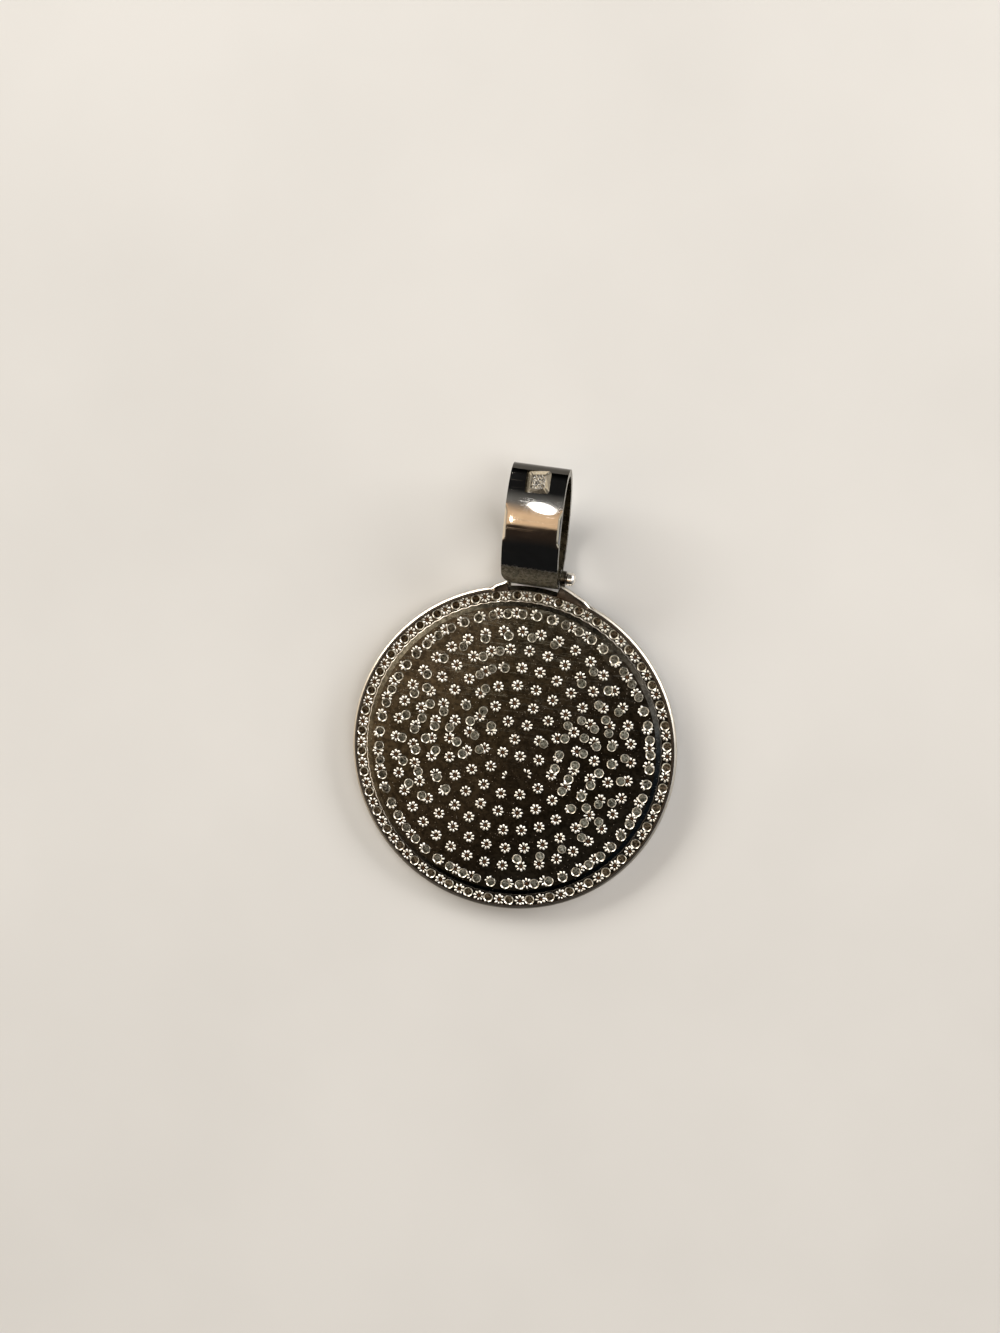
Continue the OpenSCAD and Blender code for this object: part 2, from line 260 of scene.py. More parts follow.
@dataclass(frozen=True)
class Effect:
    """A shader node group that several finishes share."""

    name: str
    numbers: Dict[str, float]
    colours: Dict[str, Colour] = field(default_factory=dict)
    results: Tuple[Tuple[str, str], ...] = ()

    def start(self) -> Tuple[Sheet, bpy.types.Node, bpy.types.Node]:
        """Makes the empty group with its named inputs and outputs.

        Returns:
            The group's sheet, its input node and its output node.
        """
        tree = bpy.data.node_groups.new(self.name, "ShaderNodeTree")
        tree.interface.new_socket("Vector", in_out="INPUT", socket_type="NodeSocketVector")
        for name, value in self.numbers.items():
            socket = tree.interface.new_socket(name, in_out="INPUT", socket_type="NodeSocketFloat")
            socket.default_value = value
        for name, colour in self.colours.items():
            socket = tree.interface.new_socket(name, in_out="INPUT", socket_type="NodeSocketColor")
            socket.default_value = rgba(colour)
        for name, kind in self.results:
            tree.interface.new_socket(name, in_out="OUTPUT", socket_type=kind)
        sheet = Sheet(tree)
        return sheet, sheet.add("NodeGroupInput"), sheet.add("NodeGroupOutput")

    def place(self, sheet: Sheet, vector: bpy.types.NodeSocket, **inputs: Any) -> bpy.types.Node:
        """Places the group in a material, with that material's own values.

        Args:
            sheet: The material's sheet.
            vector: The place on the surface, in millimetres.
            inputs: Values of the group's inputs, with _ for a space in the name.

        Returns:
            The group's node.
        """
        node = sheet.add("ShaderNodeGroup", node_tree=bpy.data.node_groups[self.name])
        sheet.feed(node.inputs["Vector"], vector)
        for name, value in inputs.items():
            sheet.feed(node.inputs[name.replace("_", " ").title()], value)
        return node


WORN_POLISH = Effect(
    "worn_polish",
    {"Haze Scale": 0.3, "Low": 0.06, "High": 0.2, "Scratches": 0.5},
    results=(
        ("Roughness", "NodeSocketFloat"),
        ("Height", "NodeSocketFloat"),
        ("Haze", "NodeSocketFloat"),
    ),
)
FINE_SPECKS = Effect(
    "fine_specks",
    {"Scale": 4.0, "Amount": 0.3, "Size": 0.25},
    results=(("Mask", "NodeSocketFloat"),),
)
TONE_DRIFT = Effect(
    "tone_drift",
    {"Scale": 0.2, "Share": 0.5},
    {"Light": (0.8, 0.8, 0.8), "Dark": (0.4, 0.4, 0.4)},
    (("Color", "NodeSocketColor"),),
)


@dataclass(frozen=True)
class WornPolish:
    """Haze that drifts over a polish, with fine crossing scratches."""

    haze_detail: float = 5.0
    haze_roughness: float = 0.62
    haze_span: Pair = (0.38, 0.68)
    scratch_sets: Tuple[Pair, ...] = ((0.5, 3.0), (1.9, 11.0), (2.6, 23.0))
    scratch_stretch: Direction = (0.05, 1.6, 0.05)
    scratch_detail: float = 2.0
    scratch_bend: float = 0.15
    scratch_width: float = 0.006
    scratch_dulling: float = 0.2
    broken_scale: float = 2.3
    broken_span: Pair = (0.5, 0.62)

    def scratch_set(self, sheet: Sheet, vector: Any, turn: float, start: float) -> bpy.types.NodeSocket:
        """Draws one set of scratches that run the same way.

        Args:
            sheet: The group's sheet.
            vector: The place on the surface.
            turn: The turn of the scratches, in radians.
            start: Where in the noise the set begins.

        Returns:
            The socket that is 1 in a scratch and 0 beside it.
        """
        placing = {
            "Vector": vector,
            "Location": (start, start, 0.0),
            "Rotation": (0.0, 0.0, turn),
            "Scale": self.scratch_stretch,
        }
        laid = sheet.add("ShaderNodeMapping", placing).outputs[0]
        streak = sheet.noise(laid, 1.0, self.scratch_detail, distortion=self.scratch_bend)
        off = sheet.math("ABSOLUTE", sheet.math("SUBTRACT", streak, 0.5))
        line = sheet.spread(off, 0.0, self.scratch_width, 1.0, 0.0)
        patch = sheet.noise(laid, self.broken_scale, 1.0)
        return sheet.math("MULTIPLY", line, sheet.spread(patch, *self.broken_span))

    def build(self) -> None:
        """Makes the group."""
        sheet, given, result = WORN_POLISH.start()
        vector = given.outputs["Vector"]
        noise = sheet.noise(vector, given.outputs["Haze Scale"], self.haze_detail, self.haze_roughness)
        haze = sheet.spread(noise, *self.haze_span)
        lines: Any = 0.0
        for turn, start in self.scratch_sets:
            lines = sheet.math("MAXIMUM", lines, self.scratch_set(sheet, vector, turn, start))
        lines = sheet.math("MULTIPLY", lines, given.outputs["Scratches"])
        rough = sheet.spread(haze, 0.0, 1.0, given.outputs["Low"], given.outputs["High"])
        rough = sheet.math("ADD", rough, sheet.math("MULTIPLY", lines, self.scratch_dulling))
        sheet.feed(result.inputs["Roughness"], rough)
        sheet.feed(result.inputs["Height"], sheet.math("MULTIPLY", lines, -1.0))
        sheet.feed(result.inputs["Haze"], haze)


@dataclass(frozen=True)
class FineSpecks:
    """Small separate dots: dust and pitting on the metals, painted sparkles on the stones."""

    faintest: float = 0.3

    def build(self) -> None:
        """Makes the group."""
        sheet, given, result = FINE_SPECKS.start()
        placing = {"Vector": given.outputs["Vector"], "Scale": given.outputs["Scale"]}
        cells = sheet.add("ShaderNodeTexVoronoi", placing)
        dot = sheet.math("LESS_THAN", cells.outputs["Distance"], given.outputs["Size"])
        pick = sheet.add("ShaderNodeSeparateColor", {0: cells.outputs["Color"]})
        kept = sheet.math("LESS_THAN", pick.outputs[0], given.outputs["Amount"])
        strength = sheet.spread(pick.outputs[1], 0.0, 1.0, self.faintest, 1.0)
        mask = sheet.math("MULTIPLY", sheet.math("MULTIPLY", dot, kept), strength)
        sheet.feed(result.inputs["Mask"], mask)


@dataclass(frozen=True)
class ToneDrift:
    """A colour that drifts between two tones."""

    detail: float = 4.0
    span: Pair = (0.36, 0.66)

    def build(self) -> None:
        """Makes the group."""
        sheet, given, result = TONE_DRIFT.start()
        noise = sheet.noise(given.outputs["Vector"], given.outputs["Scale"], self.detail)
        share = sheet.math("MULTIPLY", sheet.spread(noise, *self.span), given.outputs["Share"])
        tone = sheet.blend(share, given.outputs["Light"], given.outputs["Dark"])
        sheet.feed(result.inputs["Color"], tone)


@dataclass(frozen=True)
class Finish:
    """What every finish shares: a name and a material with a Principled shader."""

    name: str
    scratch_depth: float = 0.004

    def build(self) -> bpy.types.Material:
        """Makes the material, in each finish's own way."""
        raise NotImplementedError

    def start(self) -> Tuple[bpy.types.Material, Sheet, bpy.types.Node, bpy.types.NodeSocket]:
        """Makes the material and its coordinates.

        Returns:
            The material, its sheet, its Principled node and the place in millimetres.
        """
        material = bpy.data.materials.new(self.name)
        material.use_nodes = True
        sheet = Sheet(material.node_tree)
        shader = material.node_tree.nodes["Principled BSDF"]
        place = sheet.add("ShaderNodeTexCoord")
        grown = sheet.add("ShaderNodeVectorMath", {0: place.outputs["Object"]}, operation="SCALE")
        grown.inputs["Scale"].default_value = 1.0 / MM
        return material, sheet, shader, grown.outputs[0]

    def raise_surface(
        self, sheet: Sheet, shader: bpy.types.Node, height: Any, depth: float, strength: float
    ) -> None:
        """Feeds a bump to the shader.

        Args:
            sheet: The material's sheet.
            shader: The Principled node.
            height: The socket that gives the height from 0 to 1.
            depth: The height in millimetres of a value of 1.
            strength: The strength of the bump.
        """
        bump = sheet.add("ShaderNodeBump", {"Height": height, "Distance": depth * MM, "Strength": strength})
        sheet.feed(shader.inputs["Normal"], bump.outputs[0])


@dataclass(frozen=True)
class DarkMirror(Finish):
    """The field's polished silver, with a painted dark reflection as its colour: brown toward one side,
    blue-black toward the other.
    """

    name: str = "plate_metal"
    # Painted dark reflection: the silver's colour is set near black, brown toward one side and blue-black
    # toward the other.
    tones: Tuple[Tuple[float, Colour], ...] = (
        (0.0, (0.21, 0.2, 0.165)),
        (0.22, (0.088, 0.085, 0.066)),
        (0.5, (0.052, 0.05, 0.043)),
        (0.78, (0.021, 0.021, 0.019)),
        (1.0, (0.021, 0.024, 0.026)),
    )
    low: float = 0.05
    high: float = 0.14
    across_span: Pair = (-10.0, 20.0)
    drift_scale: float = 0.16
    drift_detail: float = 3.0
    drift_span: Pair = (0.3, 0.7)
    drift_mm: float = 2.5
    grain_scale: float = 1.7
    grain_detail: float = 6.0
    grain_roughness: float = 0.8
    grain_span: Pair = (0.43, 0.57)
    grain_tint: Colour = (0.42, 0.41, 0.4)
    speck: Colour = (0.5, 0.46, 0.4)
    speck_scale: float = 3.6
    speck_amount: float = 0.3
    speck_size: float = 0.2
    speck_share: float = 0.36
    haze_scale: float = 0.35
    scratches: float = 0.5
    bump: float = 0.6

    def build(self) -> bpy.types.Material:
        """Makes the material.

        Returns:
            The material of the field, the channel and the rosettes' ground.
        """
        material, sheet, shader, place = self.start()
        drift = sheet.noise(place, self.drift_scale, self.drift_detail)
        shift = sheet.spread(drift, *self.drift_span, -self.drift_mm, self.drift_mm)
        # Painted reflection: the tone follows the place across the plate.
        across = sheet.spread(sheet.math("ADD", sheet.along(place, ACROSS), shift), *self.across_span)
        ramp = sheet.add("ShaderNodeValToRGB", {0: across})
        ramp.color_ramp.elements[0].color = rgba(self.tones[0][1])
        ramp.color_ramp.elements[1].color = rgba(self.tones[-1][1])
        for share, tone in self.tones[1:-1]:
            ramp.color_ramp.elements.new(share).color = rgba(tone)
        polish = ramp.outputs[0]
        grain = sheet.noise(place, self.grain_scale, self.grain_detail, self.grain_roughness)
        mottle = sheet.spread(grain, *self.grain_span)
        base = sheet.blend(mottle, sheet.tinted(polish, self.grain_tint), polish)
        specks = FINE_SPECKS.place(
            sheet, place, scale=self.speck_scale, amount=self.speck_amount, size=self.speck_size
        )
        dust_and_sparkle = sheet.math("MULTIPLY", specks.outputs[0], self.speck_share)
        sheet.feed(shader.inputs["Base Color"], sheet.blend(dust_and_sparkle, base, rgba(self.speck)))
        worn = WORN_POLISH.place(
            sheet, place, haze_scale=self.haze_scale, low=self.low, high=self.high, scratches=self.scratches
        )
        sheet.feed(shader.inputs["Roughness"], sheet.math("ADD", worn.outputs["Roughness"], dust_and_sparkle))
        shader.inputs["Metallic"].default_value = 1.0
        self.raise_surface(sheet, shader, worn.outputs["Height"], self.scratch_depth, self.bump)
        return material


@dataclass(frozen=True)
class BrightMetal(Finish):
    """Polished silver with haze, drifting tone and scratches, and painted shade that can darken it along one
    direction.
    """

    light: Colour = (0.93, 0.9, 0.85)
    dark: Colour = (0.62, 0.56, 0.48)
    low: float = 0.06
    high: float = 0.2
    haze_scale: float = 0.5
    scratches: float = 0.5
    share: float = 0.4
    specks: float = 0.1
    # Painted shade: along this direction, over this span, the colour is darkened to the given share.
    painted_shade_along: Direction = (0.0, -1.0, 0.0)
    painted_shade_span: Pair = (80.0, 90.0)
    painted_shade_level: float = 0.3
    tone_to_haze: float = 2.5
    speck_scale: float = 4.0
    speck_size: float = 0.22
    speck_share: float = 0.6
    speck_dulling: float = 0.3
    bump: float = 0.5

    def build(self) -> bpy.types.Material:
        """Makes the material.

        Returns:
            The polished metal.
        """
        material, sheet, shader, place = self.start()
        light, dark = rgba(self.light), rgba(self.dark)
        tone_scale = self.haze_scale * self.tone_to_haze
        tone = TONE_DRIFT.place(sheet, place, scale=tone_scale, share=self.share, light=light, dark=dark)
        specks = FINE_SPECKS.place(
            sheet, place, scale=self.speck_scale, amount=self.specks, size=self.speck_size
        )
        dust_and_sparkle = sheet.math("MULTIPLY", specks.outputs[0], self.speck_share)
        base = sheet.blend(dust_and_sparkle, tone.outputs[0], dark)
        # Painted shade: darker along one direction.
        painted_shade_mask = sheet.spread(sheet.along(place, self.painted_shade_along), *self.painted_shade_span)
        dim = sheet.tinted(base, (self.painted_shade_level, self.painted_shade_level, self.painted_shade_level))
        sheet.feed(shader.inputs["Base Color"], sheet.blend(painted_shade_mask, base, dim))
        worn = WORN_POLISH.place(
            sheet, place, haze_scale=self.haze_scale, low=self.low, high=self.high, scratches=self.scratches
        )
        dull = sheet.math("MULTIPLY", dust_and_sparkle, self.speck_dulling)
        sheet.feed(shader.inputs["Roughness"], sheet.math("ADD", worn.outputs["Roughness"], dull))
        shader.inputs["Metallic"].default_value = 1.0
        self.raise_surface(sheet, shader, worn.outputs["Height"], self.scratch_depth, self.bump)
        return material


@dataclass(frozen=True)
class BandMetal(Finish):
    """The bail's mirror polish, slightly crowned across, with a grey foot that is partly worn and partly a
    painted reflection of the disc, and a painted dark reflection at the far end.
    """

    name: str = "bail_metal"
    light: Colour = (0.9, 0.88, 0.85)
    dark: Colour = (0.66, 0.62, 0.56)
    # Painted reflection of the disc on the foot, mottled grey; the foot is also dulled by wear.
    foot: Colour = (0.36, 0.33, 0.26)
    foot_dark: Colour = (0.1, 0.09, 0.07)
    foot_y: Pair = (14.15, 14.45)
    # Painted dark reflection at the far end of the loop.
    far_y: Pair = (24.6, 25.2)
    far: Colour = (0.1, 0.097, 0.092)
    middle_x: float = -0.35
    half_width: float = 3.25
    crown: float = 0.14
    edge_drop: float = 0.1
    edge_power: float = 16.0
    edge_y: Pair = (17.0, 17.6)
    edge_end_y: Pair = (20.4, 21.4)
    tone_scale: float = 0.9
    tone_share: float = 0.3
    grain_scale: float = 3.0
    grain_detail: float = 5.0
    grain_roughness: float = 0.75
    foot_wander_span: Pair = (0.3, 0.7)
    foot_wander: float = 0.15
    foot_mottle_span: Pair = (0.36, 0.62)
    foot_dulling: float = 0.34
    haze_scale: float = 0.35
    low: float = 0.06
    high: float = 0.1
    scratches: float = 0.35

    def crowned(self, sheet: Sheet, x: Any, y: Any, scratches: Any) -> bpy.types.NodeSocket:
        """Shapes the band's slight crown, and its edges that fall away along its middle part.

        Args:
            sheet: The material's sheet.
            x: The place across the band.
            y: The place along the band.
            scratches: The scratches' height.

        Returns:
            The height, in depths of a scratch.
        """
        off = sheet.math("DIVIDE", sheet.math("SUBTRACT", x, self.middle_x), self.half_width)
        fall = sheet.math("MULTIPLY", sheet.math("MULTIPLY", off, off), -self.crown / self.scratch_depth)
        edge_fall = sheet.math("POWER", sheet.math("ABSOLUTE", off), self.edge_power)
        edge_fall = sheet.math("MULTIPLY", edge_fall, -self.edge_drop / self.scratch_depth)
        edge_fall = sheet.math("MULTIPLY", edge_fall, sheet.spread(y, *self.edge_y))
        edge_fall = sheet.math("MULTIPLY", edge_fall, sheet.spread(y, *self.edge_end_y, 1.0, 0.0))
        return sheet.math("ADD", scratches, sheet.math("ADD", fall, edge_fall))

    def build(self) -> bpy.types.Material:
        """Makes the material.

        Returns:
            The bail's metal.
        """
        material, sheet, shader, place = self.start()
        tone = TONE_DRIFT.place(
            sheet, place, scale=self.tone_scale, share=self.tone_share,
            light=rgba(self.light), dark=rgba(self.dark),
        )
        x, y = sheet.add("ShaderNodeSeparateXYZ", {0: place}).outputs[:2]
        grain = sheet.noise(place, self.grain_scale, self.grain_detail, self.grain_roughness)
        wander = sheet.spread(grain, *self.foot_wander_span, -self.foot_wander, self.foot_wander)
        # Painted reflection of the disc on the foot; the same mask dulls the foot's polish as wear.
        foot_reflection_and_wear = sheet.spread(sheet.math("ADD", y, wander), *self.foot_y, 1.0, 0.0)
        mottle = sheet.spread(grain, *self.foot_mottle_span)
        foot = sheet.blend(mottle, rgba(self.foot_dark), rgba(self.foot))
        # Painted dark reflection toward the far end of the loop.
        far = sheet.tinted(tone.outputs[0], self.far)
        base = sheet.blend(sheet.spread(y, *self.far_y), tone.outputs[0], far)
        sheet.feed(shader.inputs["Base Color"], sheet.blend(foot_reflection_and_wear, base, foot))
        worn = WORN_POLISH.place(
            sheet, place, haze_scale=self.haze_scale, low=self.low, high=self.high, scratches=self.scratches
        )
        dull = sheet.math("MULTIPLY", foot_reflection_and_wear, self.foot_dulling)
        sheet.feed(shader.inputs["Roughness"], sheet.math("ADD", worn.outputs["Roughness"], dull))
        shader.inputs["Metallic"].default_value = 1.0
        rise = self.crowned(sheet, x, y, worn.outputs["Height"])
        self.raise_surface(sheet, shader, rise, self.scratch_depth, 1.0)
        return material


@dataclass(frozen=True)
class PetalMetal(Finish):
    """Cream matt metal, a little different from petal to petal."""

    name: str = "petal_metal"
    light: Colour = (1.0, 0.98, 0.92)
    dark: Colour = (0.85, 0.78, 0.66)
    tone_layer: str = "petal_tone"
    drift_scale: float = 6.0
    drift_share: float = 0.35
    haze_scale: float = 7.0
    low: float = 0.32
    high: float = 0.5
    metallic: float = 0.85
    bump_depth: float = 0.012
    bump: float = 0.5

    def build(self) -> bpy.types.Material:
        """Makes the material.

        Returns:
            The metal of the rosettes' petals.
        """
        material, sheet, shader, place = self.start()
        tone = sheet.add("ShaderNodeAttribute", attribute_name=self.tone_layer)
        base = sheet.blend(tone.outputs["Fac"], rgba(self.dark), rgba(self.light))
        drift = TONE_DRIFT.place(
            sheet, place, scale=self.drift_scale, share=self.drift_share, light=base, dark=rgba(self.dark)
        )
        sheet.feed(shader.inputs["Base Color"], drift.outputs[0])
        worn = WORN_POLISH.place(
            sheet, place, haze_scale=self.haze_scale, low=self.low, high=self.high, scratches=0.0
        )
        sheet.feed(shader.inputs["Roughness"], worn.outputs["Roughness"])
        shader.inputs["Metallic"].default_value = self.metallic
        self.raise_surface(sheet, shader, worn.outputs["Haze"], self.bump_depth, self.bump)
        return material


@dataclass(frozen=True)
class CutGlass(Finish):
    """A clear stone seen from behind, dulled by what has settled on it, with painted light in its colour:
    each facet's brightness, glints, sparkles and a faint glow.
    """

    tint: Colour = (0.76, 0.75, 0.66)
    shade: Colour = (0.42, 0.41, 0.34)
    # Painted shade: the border channel's stones are tinted darker and browner.
    rim_tint: Colour = (0.5, 0.41, 0.33)
    rim_from: float = 16.9
    rim_fade: float = 0.3
    middle_y: float = -7.04
    # Painted reflection: the stones are tinted browner toward the upper left.
    far_tint: Colour = (0.5, 0.41, 0.3)
    far_span: Pair = (-14.0, 12.0)
    # Painted glow: the stones give off a little light in their own colour.
    glow: float = 0.1
    transmission: float = 0.3
    index: float = 1.7
    low: float = 0.12
    high: float = 0.3
    haze_scale: float = 2.0
    scratches: float = 0.2
    # Painted glints on the brightest facets.
    glint: Colour = (1.0, 0.96, 0.84)
    glint_from: float = 0.78
    glint_fade: float = 0.1
    drift_share: float = 0.3
    # Colour of the painted sparkles.
    speck: Colour = (0.95, 0.93, 0.85)
    speck_scale: float = 5.0
    speck_amount: float = 0.25
    speck_size: float = 0.3
    speck_share: float = 0.5
    bump_depth: float = 0.01
    bump: float = 0.3
    facet_layer: str = "facet_tone"

    def facet_tone(self, sheet: Sheet, place: Any) -> bpy.types.NodeSocket:
        """Gives each facet its own painted brightness, with painted glints, a drift and painted sparkles.

        Args:
            sheet: The material's sheet.
            place: The place on the surface, in millimetres.

        Returns:
            The tone's socket.
        """
        facet = sheet.add("ShaderNodeAttribute", attribute_name=self.facet_layer).outputs["Fac"]
        # Painted light: each facet's random tone between shade and tint stands for the light that it
        # returns, and the brightest facets become painted glints.
        tone = sheet.blend(facet, rgba(self.shade), rgba(self.tint))
        bright = sheet.spread(facet, self.glint_from, self.glint_from + self.glint_fade)
        tone = sheet.blend(bright, tone, rgba(self.glint))
        drift = TONE_DRIFT.place(
            sheet, place, scale=self.haze_scale, share=self.drift_share, light=tone, dark=rgba(self.shade)
        )
        # Painted sparkles: bright specks on the stones.
        specks = FINE_SPECKS.place(
            sheet, place, scale=self.speck_scale, amount=self.speck_amount, size=self.speck_size
        )
        dust_and_sparkle = sheet.math("MULTIPLY", specks.outputs[0], self.speck_share)
        return sheet.blend(dust_and_sparkle, drift.outputs[0], rgba(self.speck))

    def build(self) -> bpy.types.Material:
        """Makes the material, with painted shade that makes it darker and browner where the stones are in
        the border channel, and a painted reflection that browns it toward the upper left.

        Returns:
            The stones' glass.
        """
        material, sheet, shader, place = self.start()
        base = self.facet_tone(sheet, place)
        to_middle = {0: place, 1: (0.0, -self.middle_y, 0.0)}
        flat = sheet.add("ShaderNodeVectorMath", to_middle, operation="ADD")
        reach = sheet.add("ShaderNodeVectorMath", {0: flat.outputs[0]}, operation="LENGTH")
        # Painted shade on the stones in the border channel.
        rim = sheet.spread(reach.outputs["Value"], self.rim_from, self.rim_from + self.rim_fade)
        base = sheet.blend(rim, base, sheet.tinted(base, self.rim_tint))
        # Painted reflection, browner toward the upper left.
        far = sheet.spread(sheet.along(place, ACROSS), *self.far_span, 1.0, 0.0)
        base = sheet.blend(far, base, sheet.tinted(base, self.far_tint))
        sheet.feed(shader.inputs["Base Color"], base)
        # Painted glow: emission in the stones' own colour.
        sheet.feed(shader.inputs["Emission Color"], base)
        shader.inputs["Emission Strength"].default_value = self.glow
        shader.inputs["Transmission Weight"].default_value = self.transmission
        shader.inputs["IOR"].default_value = self.index
        worn = WORN_POLISH.place(
            sheet, place, haze_scale=self.haze_scale, low=self.low, high=self.high, scratches=self.scratches
        )
        sheet.feed(shader.inputs["Roughness"], worn.outputs["Roughness"])
        self.raise_surface(sheet, shader, worn.outputs["Haze"], self.bump_depth, self.bump)
        return material


@dataclass(frozen=True)
class PaleFloor(Finish):
    """The plain pale surface that the pendant lies on."""

    name: str = "pale_floor"
    light: Colour = (0.66, 0.65, 0.63)
    dark: Colour = (0.62, 0.61, 0.59)
    tone_scale: float = 0.02
    roughness: float = 0.85
    specular: float = 0.2

    def build(self) -> bpy.types.Material:
        """Makes the material.

        Returns:
            The floor's matt paint.
        """
        material, sheet, shader, place = self.start()
        tone = TONE_DRIFT.place(
            sheet, place, scale=self.tone_scale, share=1.0, light=rgba(self.light), dark=rgba(self.dark)
        )
        sheet.feed(shader.inputs["Base Color"], tone.outputs[0])
        shader.inputs["Roughness"].default_value = self.roughness
        shader.inputs["Specular IOR Level"].default_value = self.specular
        return material


# Painted reflection on the sloping band: warm brown toward the upper left, blue-black toward the lower
# right.
SLOPE_REFLECTION_TONES: Tuple[Tuple[float, Colour], ...] = (
    (0.0, (0.17, 0.15, 0.11)),
    (0.22, (0.16, 0.135, 0.095)),
    (0.5, (0.06, 0.052, 0.04)),
    (0.78, (0.028, 0.028, 0.026)),
    (1.0, (0.02, 0.026, 0.03)),
)
DISC_FINISHES: Dict[Metal, Finish] = {
    # Painted dark reflection on the field, the channel and the rosettes' ground.
    Metal.FIELD: DarkMirror(),
    Metal.EDGE: BrightMetal(
        "edge_metal", light=(0.95, 0.9, 0.82), dark=(0.55, 0.47, 0.38), low=0.12, high=0.28,
        haze_scale=0.6, scratches=0.6, share=0.5, specks=0.15,
    ),
    # Painted shade in the stones' holes: the bright cut and the seat walls are darker brown copies of the
    # silver.
    Metal.CUT: BrightMetal(
        "cut_metal", light=(0.5, 0.42, 0.32), dark=(0.2, 0.15, 0.1), low=0.3, high=0.42,
        haze_scale=3.0, scratches=0.0, share=0.6, specks=0.0,
    ),
    Metal.SEAT: BrightMetal(
        "seat_metal", light=(0.42, 0.33, 0.24), dark=(0.16, 0.12, 0.09), low=0.25, high=0.45,
        haze_scale=3.0, scratches=0.0, share=0.8, specks=0.2,
    ),
    Metal.SLOPE: DarkMirror("slope_metal", tones=SLOPE_REFLECTION_TONES, low=0.22, high=0.36),
    # Painted shade: the floors of the rosettes' pits are coloured nearly black.
    Metal.PIT: BrightMetal(
        "pit_metal", light=(0.12, 0.07, 0.04), dark=(0.05, 0.03, 0.02), low=0.3, high=0.5,
        haze_scale=3.0, scratches=0.0, share=0.6, specks=0.0,
    ),
    # Painted shade: the solder at the joint under the bail's foot is coloured dark.
    Metal.SOLDER: BrightMetal(
        "solder_metal", light=(0.17, 0.155, 0.12), dark=(0.05, 0.045, 0.035), low=0.35, high=0.5,
        haze_scale=1.0, scratches=0.2, share=1.0, specks=0.3,
    ),
    # Painted dark reflection: the rim's faces beside the bead are coloured near black.
    Metal.RIM: BrightMetal(
        "rim_metal", light=(0.055, 0.042, 0.03), dark=(0.03, 0.022, 0.016), low=0.3, high=0.45,
        haze_scale=1.0, scratches=0.2, share=0.7, specks=0.2,
    ),
}
LIP_METAL = BrightMetal(
    "lip_metal", light=(1.0, 0.95, 0.83), dark=(0.42, 0.36, 0.27), low=0.3, high=0.42,
    haze_scale=0.5, scratches=0.0, share=0.8, specks=0.0,
)
# Painted shade: the bead darkens toward the disc's lower side, away from the bail.
BEAD_METAL = BrightMetal(
    "bead_metal", light=(0.7, 0.65, 0.56), dark=(0.58, 0.52, 0.43), low=0.36, high=0.44,
    haze_scale=0.6, scratches=0.2, share=0.35, specks=0.0, painted_shade_span=(10.0, 24.0),
)
# Painted dark reflection: the shoulder inside the rim's bead is coloured near black.
SHOULDER_METAL = BrightMetal(
    "shoulder_metal", light=(0.055, 0.042, 0.03), dark=(0.03, 0.022, 0.016), low=0.25, high=0.42,
    haze_scale=1.0, scratches=0.2, share=0.7, specks=0.2,
)
# Painted shade: the line darkens from the upper left toward the lower right.
LINE_METAL = BrightMetal(
    "line_metal", light=(0.92, 0.86, 0.77), dark=(0.55, 0.47, 0.37), low=0.3, high=0.42,
    haze_scale=0.5, scratches=0.0, share=0.6, specks=0.0,
    painted_shade_along=ACROSS, painted_shade_span=(-3.0, 5.0), painted_shade_level=0.1,
)
PIN_METAL = BrightMetal(
    "pin_metal", light=(0.96, 0.92, 0.85), dark=(0.7, 0.62, 0.52), low=0.24, high=0.36,
    haze_scale=1.0, scratches=0.4, share=0.4, specks=0.1,
)
BAND_FINISHES: Dict[BandPlace, Finish] = {
    BandPlace.OUTSIDE: BandMetal(),
    # Painted shade: the band's sides and the inside of the loop are dark brown copies of its silver.
    BandPlace.SIDE: BrightMetal(
        "band_side", light=(0.17, 0.145, 0.09), dark=(0.07, 0.058, 0.036), low=0.16, high=0.34,
        haze_scale=0.7, scratches=0.5, share=0.8, specks=0.3,
    ),
    BandPlace.INSIDE: BrightMetal(
        "band_inner", light=(0.2, 0.172, 0.115), dark=(0.085, 0.07, 0.045), low=0.2, high=0.36,
        haze_scale=0.7, scratches=0.5, share=0.8, specks=0.3,
    ),
}
BORDER_GLASS = CutGlass("border_stone", tint=(0.78, 0.76, 0.62), shade=(0.08, 0.075, 0.055))
FIELD_GLASS = CutGlass("field_stone", tint=(0.84, 0.85, 0.7), shade=(0.06, 0.058, 0.045), glow=0.16)
# The square stone has the same painted facet light, with dimmer painted glints and a fainter painted glow.
SQUARE_GLASS = CutGlass(
    "square_stone", tint=(0.36, 0.32, 0.25), shade=(0.02, 0.016, 0.012), rim_from=60.0,
    far_tint=(1.0, 1.0, 1.0), glint=(0.55, 0.47, 0.34), glow=0.02, transmission=0.35, index=1.5,
    low=0.12, high=0.3, haze_scale=2.6,
)


